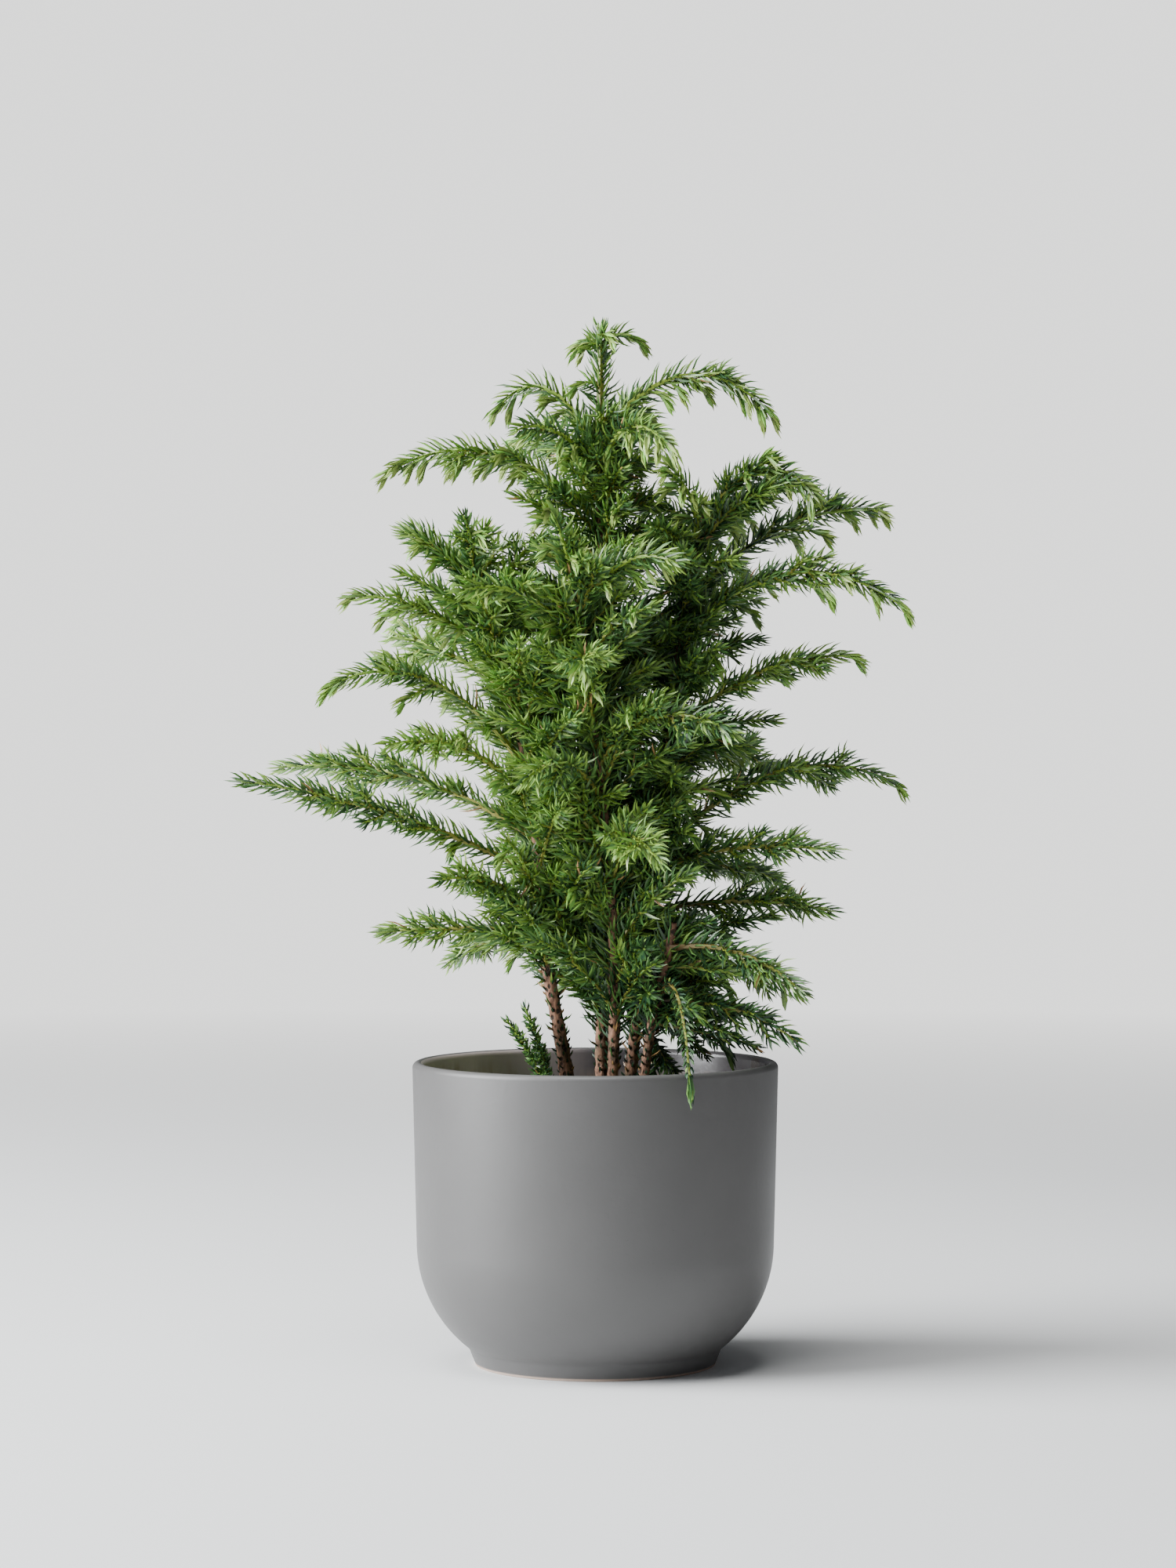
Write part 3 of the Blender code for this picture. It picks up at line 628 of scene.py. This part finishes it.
class Foliage:
    """Collects the needles and twigs of one piece, then turns them into one mesh."""

    def __init__(self, kit, seed):
        self.settings, self.material, (self.shape, self.faces) = kit
        self.rng = np.random.default_rng(seed)
        self.mood = self.rng.normal(0, 0.08)
        self.needles = []
        self.tubes = []

    def tint(self, points, lift=0.0):
        """How bright needles are: painted light makes them lighter outwards, upwards and in a pool of
        light at the left side, and painted shade makes them darker low down.
        """
        x, _, z = points.T
        # Painted light: needles lighter away from the middle, higher up, and in a painted pool of light
        # at the left.
        reach = np.linalg.norm(points[:, :2] - (0.004, 0.004), axis=1)
        painted_left_light = 0.19 * np.exp(-((x + 0.040) / 0.045) ** 2 - ((z - 0.215) / 0.09) ** 2)
        value = 0.32 + 1.1 * reach + 0.55 * (z - 0.18) + painted_left_light - 0.15 * np.clip(x, 0, 0.08)
        # Painted shade: needles darker low down, under the crown.
        value -= 2.4 * np.clip(0.165 - z, 0, 0.05)
        return value + lift + self.mood + self.rng.normal(0, 0.17, len(points))

    def clothe(self, points, bare, splay, size, pitch, lift, radius, fade, dry=0.004, stout=1.0):
        """Set needles in a spiral along a twig, whose first share is left bare."""
        places, marks = along(points, pitch)
        total = marks[-1]
        tangents = unit(np.gradient(places, axis=0))
        side, up = across(tangents)
        count = len(places)
        turn = GOLDEN_TURN * np.arange(count) + self.rng.normal(0, 0.25, count)
        turn += self.rng.uniform(0, math.tau)
        outward = side * np.cos(turn)[:, None] + up * np.sin(turn)[:, None]
        angle = splay * self.rng.normal(1.0, 0.13, count)
        share = marks / max(total, 1e-6)
        angle *= 1 - 0.45 * np.clip((share - 0.75) / 0.25, 0, 1)
        direction = tangents * np.cos(angle)[:, None] + outward * np.sin(angle)[:, None]
        lean = unit(tangents - direction * (tangents * direction).sum(1, keepdims=True))
        span = size * self.rng.normal(1.0, 0.10, count)
        span *= 1 - fade * np.clip((share - 0.7) / 0.3, 0, 1) ** 1.5
        tint = self.tint(places, lift) + 0.10 * share
        tint = np.clip(tint, 0, 1) * (TINT_HIGH - TINT_LOW) + TINT_LOW
        tint = np.where(self.rng.random(count) < dry, DRY_TINT, tint)
        girth = self.settings.girth * stout * self.rng.normal(1.0, 0.08, count)
        table = np.column_stack((places + outward * radius, direction, lean, span, girth, tint))
        self.needles.append(table[marks >= bare * total])

    def twig(self, points, radii, ripe, bare, size, pitch, lift, radius=0.0004):
        """A thin twig with its needles."""
        self.tube(points, *radii, (ripe, 1.0))
        self.clothe(points, bare, self.settings.splay, size, pitch, lift, radius, 0.3)

    def tube(self, points, start_radius, end_radius, ripe):
        """A thin five-sided twig along points. ripe is where its bark starts and ends."""
        tangents = unit(np.gradient(points, axis=0))
        side, up = across(tangents)
        radii = np.linspace(start_radius, end_radius, len(points))
        self.tubes.append((points, side, up, radii, np.linspace(*ripe, len(points))))

    def finish(self, name, body, nodes):
        """Make one mesh of the needles and twigs, and hand it to the frame."""
        verts, faces, maps = self.needle_arrays()
        for tube in self.tubes:
            more, sides, spots = tube_arrays(*tube)
            faces = np.vstack((faces, sides + len(verts)))
            verts, maps = np.vstack((verts, more)), np.vstack((maps, spots))
        item = mesh_from(name, verts, faces, maps)
        finish_piece(item, self.material, body, nodes, 60)

    def needle_arrays(self):
        table = np.vstack(self.needles)
        root, direction, lean = table[:, 0:3], table[:, 3:6], table[:, 6:9]
        span, girth, tint = table[:, 9], table[:, 10], table[:, 11]
        cross = np.cross(direction, lean)
        x, y, z = self.shape.T
        bow = 0.32 * z ** 2
        verts = (root[:, None] + direction[:, None] * (span[:, None] * z)[..., None]
                 + lean[:, None] * (span[:, None] * bow + girth[:, None] * x)[..., None]
                 + cross[:, None] * (girth[:, None] * y)[..., None])
        faces = self.faces[None] + (np.arange(len(table)) * len(x))[:, None, None]
        spots = np.empty((len(table), len(x), 2))
        spots[..., 0] = tint[:, None] + 0.004 * np.where(np.abs(y) > 0.1, y, x * 0.6)
        spots[..., 1] = 0.01 + 0.98 * z
        return verts.reshape(-1, 3), faces.reshape(-1, 3), spots.reshape(-1, 2)


def tube_arrays(points, side, up, radii, ripe, sides=5):
    """The vertices, triangles and map of a closed tube."""
    turns = np.arange(sides) * math.tau / sides
    around = side[:, None] * np.cos(turns)[:, None] + up[:, None] * np.sin(turns)[:, None]
    verts = (points[:, None] + around * radii[:, None, None]).reshape(-1, 3)
    verts = np.vstack((verts, points[:1], points[-1:]))
    faces = []
    last = len(points) - 1
    for k in range(sides):
        j = (k + 1) % sides
        low = np.arange(last) * sides
        faces.append(np.column_stack((low + k, low + j, low + j + sides)))
        faces.append(np.column_stack((low + k, low + j + sides, low + k + sides)))
        faces.append([[len(verts) - 2, j, k]])
        faces.append([[len(verts) - 1, last * sides + k, last * sides + j]])
    band = BARK_LOW + (BARK_HIGH - BARK_LOW) * np.abs(np.arange(sides) - sides / 2) / sides
    spots = np.column_stack((np.tile(band, len(points)), np.repeat(ripe, sides)))
    ends = ((BARK_LOW, ripe[0]), (BARK_LOW, ripe[-1]))
    return verts, np.vstack(faces), np.vstack((spots, ends))


def mesh_from(name, verts, faces, maps):
    """A triangle mesh from arrays, with its needle map."""
    mesh = bpy.data.meshes.new(name)
    mesh.vertices.add(len(verts))
    mesh.vertices.foreach_set("co", verts.astype(np.float32).ravel())
    mesh.loops.add(faces.size)
    mesh.loops.foreach_set("vertex_index", faces.astype(np.int32).ravel())
    mesh.polygons.add(len(faces))
    mesh.polygons.foreach_set("loop_start", np.arange(0, faces.size, 3, dtype=np.int32))
    mesh.update(calc_edges=True)
    layer = mesh.uv_layers.new(name="OFBake")
    layer.data.foreach_set("uv", maps[faces.ravel()].astype(np.float32).ravel())
    mesh.validate()
    item = bpy.data.objects.new(name, mesh)
    bpy.context.scene.collection.objects.link(item)
    return item


def twig_points(root, direction, span, toward, sag, steps=9, droop=0.0):
    """A side twig that curves toward a direction and sags under its own weight."""
    shares = np.linspace(0, 1, steps)[:, None]
    heading = unit(direction * (1 - shares * 0.45) + toward * shares * 0.45)
    heading = unit(heading + UPWARD * (droop - sag * shares ** 2))
    hops = np.vstack((np.zeros(3), heading[:-1])) * span / (steps - 1)
    return root + np.cumsum(hops, axis=0)


def drooping_tip(leaves, points, span):
    """Soft new growth at the end of a twig: close, bright needles in a claw that hangs."""
    heading = unit(points[-1] - points[-2])
    # Painted light: the claws are painted lighter the higher they stand.
    lift = 0.55 * float(np.interp(points[-1][2], (0.26, 0.34), (0.35, 1.0)))
    tip = twig_points(points[-1], heading, span, heading, 2.2, 8)
    leaves.tube(tip, 0.0007, 0.0004, (0.9, 1.0))
    leaves.clothe(tip, 0.0, math.radians(17), 0.0082, 0.00062, lift, 0.0005, 0.2, 0.0, 1.35)


def grow_side_twigs(leaves, places, marks, widths, share_range, tips, fineness):
    """Side twigs in two ranks along a branch, with a few that rise out of its plane."""
    settings, rng = leaves.settings, leaves.rng
    total = marks[-1]
    tangents = unit(np.gradient(places, axis=0))
    mark = total * share_range[0]
    rank = 1
    while mark < total * share_range[1]:
        i = min(int(np.searchsorted(marks, mark)), len(places) - 2)
        tangent = tangents[i]
        side = level_side(tangent) * rank
        roll = rng.normal(-0.1, 0.6) if rng.random() < 0.75 else rng.uniform(-1.5, 1.5)
        angle = math.radians(rng.normal(50, 6))
        aside = side * math.cos(roll) + np.cross(tangent, side) * rank * math.sin(roll)
        direction = unit(tangent * math.cos(angle) + aside * math.sin(angle))
        room = float(np.interp(mark, marks, widths))
        span = (room - 0.0085) * 1.95 * rng.uniform(0.8, 1.2)
        span = min(span, (total - mark) * 0.75 + 0.003)
        new_tip = rng.random() < tips
        if span > 0.006:
            twig = twig_points(places[i], direction, span, tangent, 0.3)
            leaves.twig(twig, (0.00085, 0.0005), 0.35, 0.05, settings.short * fineness,
                        settings.pitch, rng.normal(0.03, 0.08))
            if new_tip:
                drooping_tip(leaves, twig, rng.uniform(0.005, 0.008))
        elif new_tip:
            twig = twig_points(places[i], unit(direction - UPWARD * 0.4), 0.003, tangent, 0.3, 4)
            drooping_tip(leaves, twig, rng.uniform(0.004, 0.007))
        mark += settings.twig_gap * rng.uniform(0.38, 0.62)
        rank = -rank


def grow_branch(leaves, points, widths, tips, fineness):
    """A whole branch: its axis, its needles, its side twigs and its new tip."""
    settings, rng = leaves.settings, leaves.rng
    places, marks = along(points, 0.002)
    keep = marks < marks[-1] - TIP_ROOM
    places, marks = places[keep], marks[keep]
    wave = np.sin(marks / marks[-1] * math.pi)[:, None]
    side = level_side(places[-1] - places[0])
    places = places + side * wave * rng.normal(0, 0.0016) + UPWARD * wave * rng.normal(0, 0.001)
    room = np.interp(marks, lengths(points), widths)
    ripe = ripeness(places[0])
    leaves.tube(places, axis_radius(fineness), 0.0005, (ripe, min(1.0, ripe + 0.7)))
    leaves.clothe(places, 0.03, settings.splay, settings.long * fineness, settings.pitch, 0.0,
                  0.0009, 0.35)
    grow_side_twigs(leaves, places, marks, room, (0.12, 0.93), tips, fineness)
    if rng.random() < tips + 0.15:
        drooping_tip(leaves, places, rng.uniform(0.005, 0.009))


def axis_radius(fineness):
    """The radius of a branch's wood at its root."""
    return max(0.0007, 0.0014 * fineness ** 1.5)


def grow_stub(leaves, root, outward, thickness, length=0.0030):
    """The short wood that joins a branch to the bark of its stem."""
    ends = np.array((root - outward * length, root + outward * 0.001))
    leaves.tube(ends, thickness, thickness, (ripeness(root), ripeness(root)))


def ripeness(place):
    """How green the wood is: brown low down, greener near the top."""
    return float(np.interp(place[2], (0.16, 0.30), (0.0, 0.7)))


def level_side(heading):
    """A level direction square to a heading."""
    side = np.cross(UPWARD, heading)
    steep = np.linalg.norm(side) <= 0.1 * np.linalg.norm(heading)
    return np.array((1.0, 0.0, 0.0)) if steep else unit(side)


def clear_of_branches(bearing, place):
    """Turn a sprig away from any branch that leaves the stem just below it."""
    for joint in HINGES.values():
        x, y, _ = joint["axis"]
        apart = (bearing - math.atan2(x, -y) + math.pi) % math.tau - math.pi
        below = place[2] - joint["pos_m"][2]
        near = math.hypot(place[0] - joint["pos_m"][0], place[1] - joint["pos_m"][1]) < 0.009
        if near and -0.004 < below < 0.016 and abs(apart) < 0.7:
            bearing += 0.9 if apart > 0 else -0.9
    return bearing


def grow_leader(leaves, points):
    """The upright growing tip with its star of short drooping twigs."""
    settings, rng = leaves.settings, leaves.rng
    places, _ = along(points, 0.002)
    leaves.tube(places, 0.0019, 0.0007, (0.2, 1.0))
    leaves.clothe(places, 0.0, math.radians(62), settings.long, settings.pitch * 0.75, 0.0, 0.0014, 0.6)
    for share, turn, span in ((0.80, 0.1, 0.013), (0.72, 1.5, 0.008), (0.84, 2.9, 0.006),
                              (0.78, 4.0, 0.006), (0.86, 5.2, 0.006), (0.36, 3.4, 0.007)):
        turn += rng.normal(0, 0.1)
        level = compass(turn)
        twig = twig_points(places[int(share * (len(places) - 1))], unit(level + UPWARD * 0.8),
                           span, level, 0.8)
        leaves.twig(twig, (0.0008, 0.0005), 0.6, 0.0, settings.short, settings.pitch, 0.15)
        drooping_tip(leaves, twig, rng.uniform(0.005, 0.008))


# ---- Operators ----------------------------------------------------------------------------
class TREE_OT_pot(bpy.types.Operator):
    """Turn the pot from a disc and glaze it"""

    bl_idname = "tree.pot"
    bl_label = "Pot"

    def execute(self, context):
        pot = context.scene.tree_pot
        item = turned("pot_body", pot_profile(pot), pot.segments)
        self.mark_lining(item)
        finish_piece(item, glaze_material(pot), "pot", ["pot"], 30)
        return {"FINISHED"}

    def mark_lining(self, item):
        """Mark the faces that look into the pot, for the glossier glaze."""
        centre = Vector((0, 0, 0.085))
        marks = [float((centre - v.co).dot(v.normal) > 0) for v in item.data.vertices]
        lining = item.data.attributes.new("lining", "FLOAT", "POINT")
        lining.data.foreach_set("value", marks)


class TREE_OT_liner(bpy.types.Operator):
    """Turn the ribbed liner that lifts out of the pot"""

    bl_idname = "tree.liner"
    bl_label = "Liner"

    def execute(self, context):
        item = turned("liner_shell", liner_profile(context.scene.tree_insert), 96)
        finish_piece(item, liner_material(), "insert", ["liner"])
        return {"FINISHED"}


class TREE_OT_fillings(bpy.types.Operator):
    """Give the ballast, the foam plug and the steel cores their finishes"""

    bl_idname = "tree.fillings"
    bl_label = "Ballast, foam and cores"

    def execute(self, context):
        finishes = {"ballast": cement_material(), "foam_plug": foam_material()}
        steel = steel_material()
        for name, node in frame["nodes"].items():
            material = steel if name.startswith("core_") else finishes.get(name)
            if material:
                node.data.materials.clear()
                node.data.materials.append(material)
        return {"FINISHED"}


class TREE_OT_moss(bpy.types.Operator):
    """Model the uneven moss mat with its sprigs and fallen needles"""

    bl_idname = "tree.moss"
    bl_label = "Moss"

    def execute(self, context):
        insert = context.scene.tree_insert
        edge, low, top = MOSS_HIGH.x, MOSS_LOW.z, MOSS_HIGH.z
        dome = [(edge * share, low + 0.003 + (top - low - 0.0035) * (1 - share ** 2))
                for share in np.linspace(0.985, 0.02, 46)]
        item = turned("moss_cushion", [(edge * 0.99, low), (edge, low + 0.0015), *dome], 150)
        group = item.vertex_groups.new(name="top")
        group.add([v.index for v in item.data.vertices if v.co.z > low + 0.0025], 1.0, "REPLACE")
        lumps = bpy.data.textures.new("moss_lumps", "CLOUDS")
        lumps.noise_depth = 3
        roughen(item, lumps, 0.009, direction="Z", strength=0.0034, mid_level=0.62,
                vertex_group=group.name)
        finish_piece(item, moss_material(insert), "insert", ["moss_mat"], 60)
        self.scatter(context, dome)
        return {"FINISHED"}

    def scatter(self, context, dome):
        """Sprigs of moss and fallen needles, all copies of the one modelled needle."""
        insert = context.scene.tree_insert
        leaves = Foliage(needle_kit(context.scene), 71)
        radii, heights = np.array(dome[::-1]).T
        self.strew(leaves, insert.tufts, radii, heights, insert.tuft_length, 0.25, 0.10)
        self.strew(leaves, insert.litter, radii, heights, 0.0075, 1.45, DRY_TINT)
        leaves.finish("moss_sprigs", "insert", [])

    def strew(self, leaves, count, radii, heights, span, tilt, tint):
        rng = leaves.rng
        reach = MOSS_HIGH.x * 0.975 * np.sqrt(rng.random(count))
        turn = rng.uniform(0, math.tau, count)
        level = np.column_stack((np.cos(turn), np.sin(turn), np.zeros(count)))
        places = level * reach[:, None]
        places[:, 2] = np.interp(reach, radii, heights) - 0.0012
        heading = rng.uniform(0, math.tau, count)
        flat = np.column_stack((np.cos(heading), np.sin(heading), np.zeros(count)))
        lean = np.clip(rng.normal(tilt, 0.22, count), 0, 1.5)[:, None]
        direction = flat * np.sin(lean) + UPWARD * np.cos(lean)
        curl = unit(flat - direction * (flat * direction).sum(1, keepdims=True))
        places[:, 2] += 0.0022 * np.clip(lean[:, 0] - 1.0, 0, 1)
        spans = span * rng.uniform(0.55, 1.2, count)
        tints = tint + rng.uniform(-0.02, 0.16 if tint < 0.5 else 0.02, count)
        girths = np.full(count, 0.00028)
        leaves.needles.append(np.column_stack((places, direction, curl, spans, girths, tints)))


class TREE_OT_stems(bpy.types.Operator):
    """Model the stems with their bark relief, and the needles that grow on them"""

    bl_idname = "tree.stems"
    bl_label = "Stems"

    def execute(self, context):
        stems = context.scene.tree_stems
        bark, kit = bark_material(stems), needle_kit(context.scene)
        for number, name in enumerate(HABITS):
            points, radii = stem_line(name)
            item = self.sleeve(name + "_bark", points, radii, stems)
            finish_piece(item, bark, "insert", [name], 60)
            leaves = Foliage(kit, 300 + number)
            self.clothe(leaves, points, radii, stems, *HABITS[name])
            if name == "stem_low":
                self.plume(leaves, points, stems.plume)
            leaves.finish(name + "_needles", "insert", [])
        return {"FINISHED"}

    def sleeve(self, name, points, radii, stems):
        """A filled curve along the stem, made a mesh and roughened."""
        clear_selection()
        bpy.ops.curve.primitive_bezier_curve_add()
        item = bpy.context.object
        item.name = name
        line = item.data
        line.splines.clear()
        spline = line.splines.new("POLY")
        places, marks = along(points, 0.0012)
        spline.points.add(len(places) - 1)
        for point, place, size in zip(spline.points, places,
                                      np.interp(marks, lengths(points), radii)):
            point.co = (*place, 1)
            point.radius = size
        line.dimensions = "3D"
        line.bevel_depth = 1.0
        line.bevel_resolution = 5
        line.use_fill_caps = True
        bpy.ops.object.convert(target="MESH")
        item = bpy.context.object
        plates = bpy.data.textures.new("bark_plates", "VORONOI")
        roughen(item, plates, 0.0032, strength=stems.relief, mid_level=0.9)
        return item

    def clothe(self, leaves, points, radii, stems, bare, *habit):
        """Sparse needles low down, dense ones and sprigs higher up."""
        settings = leaves.settings
        bare_top = MOSS_HIGH.z + stems.bare * bare
        low = points[(points[:, 2] > MOSS_HIGH.z + 0.004) & (points[:, 2] < bare_top + 0.02)]
        high = points[points[:, 2] > bare_top]
        skin = float(np.median(radii)) * 0.9
        if len(low) > 2:
            leaves.clothe(low, 0.0, math.radians(60), 0.0026, 0.0007, -0.35, skin, 0.0, 0.2)
            leaves.clothe(low, 0.2, math.radians(62), 0.0058, 0.0034, -0.10, skin, 0.0, 0.35)
        if len(high) > 2:
            leaves.clothe(high, 0.0, math.radians(62), settings.long, settings.pitch * 0.8,
                          -0.05, skin, 0.0, 0.01)
            self.sprigs(leaves, high, stems, *habit)

    def sprigs(self, leaves, high, stems, fineness, crown, rise, spread):
        """Slender twigs out of the stem, between the branches, with twigs of their own."""
        settings, rng = leaves.settings, leaves.rng
        places, marks = along(high, 0.002)
        mark = 0.002
        turn = rng.uniform(0, math.tau)
        while mark < marks[-1] - 0.004:
            i = min(int(np.searchsorted(marks, mark)), len(places) - 2)
            turn = (turn + GOLDEN_TURN + rng.normal(0, 0.3)) % math.tau
            bearing = clear_of_branches(spread[0] + (turn / math.pi - 1) * spread[1], places[i])
            level = compass(bearing)
            span = stems.sprig * rng.uniform(0.45, 1.0)
            span = min(span, crown + (marks[-1] - mark) * 0.6)
            twig = twig_points(places[i], unit(level + UPWARD * rng.uniform(*rise)), span,
                               level, 0.35, 14)
            leaves.twig(twig, (0.0010, 0.0005), 0.3, 0.05, settings.short * 1.15 * fineness,
                        settings.pitch, rng.normal(0.0, 0.12), 0.0006)
            reach = np.linspace(0, span, len(twig))
            room = 0.011 * np.sin(np.linspace(0.5, math.pi * 0.95, len(twig)))
            grow_side_twigs(leaves, twig, reach, room + 0.002, (0.3, 0.8), 0.05, fineness)
            mark += stems.sprig_gap * rng.uniform(0.7, 1.3)

    def plume(self, leaves, points, span):
        """The long low twig that droops past the rim at the right."""
        root = points[np.argmin(np.abs(points[:, 2] - MOSS_HIGH.z - 0.038))]
        toward = unit(np.array((1.0, -0.22, 0.0)))
        line = twig_points(root, toward, span, toward, 0.9, 16, -0.08)
        widths = np.interp(np.linspace(0, 1, 16), (0, 0.3, 0.6, 1), (0.004, 0.014, 0.014, 0.004))
        grow_branch(leaves, line, widths, 0.0, 0.85)


class TREE_OT_branches(bpy.types.Operator):
    """Grow the foliage of every branch along the solid that it stands for"""

    bl_idname = "tree.branches"
    bl_label = "Branches"

    def execute(self, context):
        kit = needle_kit(context.scene)
        names = [name for name in sorted(HINGES) if name != "leader"]
        for number, name in enumerate(names):
            points, widths, outward = branch_line(name)
            leaves = Foliage(kit, 1000 + number)
            tips = float(np.interp(points[-1][2], (0.24, 0.30, 0.36), (0.03, 0.25, 0.60)))
            fineness = RIM_FINENESS if name == RIM_SPRIG else 1.0
            grow_branch(leaves, points, widths, tips, fineness)
            grow_stub(leaves, points[0], outward, axis_radius(fineness))
            leaves.finish(name + "_foliage", name, [name])
        return {"FINISHED"}


class TREE_OT_shoots(bpy.types.Operator):
    """Grow the leader on the tallest stem and the sprout in the moss"""

    bl_idname = "tree.shoots"
    bl_label = "Leader and sprout"

    def execute(self, context):
        kit = needle_kit(context.scene)
        leader = Foliage(kit, 51)
        points, _, upward = branch_line("leader")
        grow_leader(leader, points)
        grow_stub(leader, points[0], upward, 0.0019, 0.0045)
        leader.finish("leader_foliage", "leader", ["leader"])
        sprout = Foliage(kit, 52)
        self.sprout(sprout, *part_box("sprout"))
        sprout.finish("sprout_foliage", "insert", ["sprout"])
        return {"FINISHED"}

    def sprout(self, leaves, low, high):
        """Two feathery twigs that lean outward from one foot."""
        short = leaves.settings.short
        foot = np.array(((low.x + high.x) / 2, (low.y + high.y) / 2, low.z))
        reach = np.linspace(0, 1, 20)[:, None]
        for rise, lean in ((1.0, (-0.021, -0.003, 0.0)), (1.12, (-0.014, 0.004, 0.0))):
            points = foot + (UPWARD * (high.z - foot[2]) * rise * reach + np.array(lean) * reach ** 1.5)
            leaves.twig(points, (0.0008, 0.0004), 0.3, 0.30, short * 0.60, 0.0008, -0.02)
            for k, share in enumerate(np.linspace(0.34, 0.88, 9)):
                level = compass(3.2 + (1.3 if k % 2 else -1.3))
                twig = twig_points(points[int(share * 19)], unit(level + UPWARD * 0.8),
                                   0.021 * (1.2 - share), level, 0.2)
                leaves.twig(twig, (0.0005, 0.0003), 0.6, 0.0, short * 0.55, 0.0008, 0.02, 0.0003)


def stand(name, data, place, target):
    """Put a lamp or a camera at a place, facing a target."""
    item = bpy.data.objects.new(name, data)
    item.location = place
    aim = Vector(target) - item.location
    item.rotation_euler = aim.to_track_quat("-Z", "Y").to_euler()
    bpy.context.scene.collection.objects.link(item)
    return item


class TREE_OT_stage(bpy.types.Operator):
    """Set the pale floor, the soft lights and the camera"""

    bl_idname = "tree.stage"
    bl_label = "Stage"

    def execute(self, context):
        stage = context.scene.tree_stage
        self.floor(stage)
        self.lamp("key_light", (-1.82, -0.38, 1.0), 1.8, stage.key, (0.965, 0.985, 1.0))
        self.lamp("top_light", (-0.3, -0.3, 1.9), 1.4, stage.top, (1.0, 1.0, 1.0))
        self.air(context, stage)
        self.camera(context)
        return {"FINISHED"}

    def floor(self, stage):
        """A round pale floor that fades out at its rim."""
        clear_selection()
        bpy.ops.mesh.primitive_circle_add(vertices=96, radius=stage.reach, fill_type="NGON")
        item = bpy.context.object
        item.name = "stage_floor"
        item.data.materials.append(stage_material(stage))

    def air(self, context, stage):
        """Faint light from all round, in front of a plain pale backdrop."""
        world = bpy.data.worlds.new("air")
        world.use_nodes = True
        tree = world.node_tree
        faint = tree.nodes["Background"]
        faint.inputs["Color"].default_value = (0.93, 0.95, 1.0, 1.0)
        faint.inputs["Strength"].default_value = stage.air
        pale = tree.nodes.new("ShaderNodeBackground")
        pale.inputs["Color"].default_value = (0.995, 1.0, 0.99, 1.0)
        pale.inputs["Strength"].default_value = stage.backdrop
        seen = tree.nodes.new("ShaderNodeLightPath").outputs["Is Camera Ray"]
        mixed = tree.nodes.new("ShaderNodeMixShader")
        for socket, value in zip(mixed.inputs, (seen, faint.outputs[0], pale.outputs[0])):
            tree.links.new(value, socket)
        tree.links.new(mixed.outputs[0], tree.nodes["World Output"].inputs["Surface"])
        context.scene.world = world

    def lamp(self, name, place, size, power, tint):
        """A soft round lamp that faces the middle of the tree."""
        data = bpy.data.lights.new(name, "AREA")
        data.shape = "DISK"
        data.size = size
        data.energy = power
        data.color = tint
        stand(name, data, place, (0, 0, 0.18))

    def camera(self, context):
        data = bpy.data.cameras.new("camera")
        data.lens = 92.4
        data.sensor_width = 36.0
        context.scene.camera = stand("camera", data, (-0.003, -1.65, 0.257), (-0.003, 0, 0.2377))


class TREE_PT_panel(bpy.types.Panel):
    """The steps that build the conifer, in order"""

    bl_label = "Potted Conifer"
    bl_idname = "TREE_PT_panel"
    bl_space_type = "VIEW_3D"
    bl_region_type = "UI"
    bl_category = "Conifer"

    def draw(self, context):
        for operator in OPERATORS:
            self.layout.operator(operator.bl_idname)
        for group in SETTINGS:
            box = self.layout.box()
            settings = getattr(context.scene, group)
            for name in settings.bl_rna.properties.keys():
                if name not in ("rna_type", "name"):
                    box.prop(settings, name)


SETTINGS = {
    "tree_pot": PotSettings,
    "tree_insert": InsertSettings,
    "tree_stems": StemSettings,
    "tree_needles": NeedleSettings,
    "tree_stage": StageSettings,
}
OPERATORS = (TREE_OT_pot, TREE_OT_liner, TREE_OT_fillings, TREE_OT_moss, TREE_OT_stems,
             TREE_OT_branches, TREE_OT_shoots, TREE_OT_stage)


def register():
    for group in (*SETTINGS.values(), *OPERATORS, TREE_PT_panel):
        bpy.utils.register_class(group)
    for name, group in SETTINGS.items():
        setattr(bpy.types.Scene, name, PointerProperty(type=group))


def unregister():
    for name in SETTINGS:
        delattr(bpy.types.Scene, name)
    for group in reversed((*SETTINGS.values(), *OPERATORS, TREE_PT_panel)):
        bpy.utils.unregister_class(group)


def main():
    register()
    bpy.ops.tree.pot()
    bpy.ops.tree.liner()
    bpy.ops.tree.fillings()
    bpy.ops.tree.moss()
    bpy.ops.tree.stems()
    bpy.ops.tree.branches()
    bpy.ops.tree.shoots()
    bpy.ops.tree.stage()


if __name__ == "__main__":
    main()
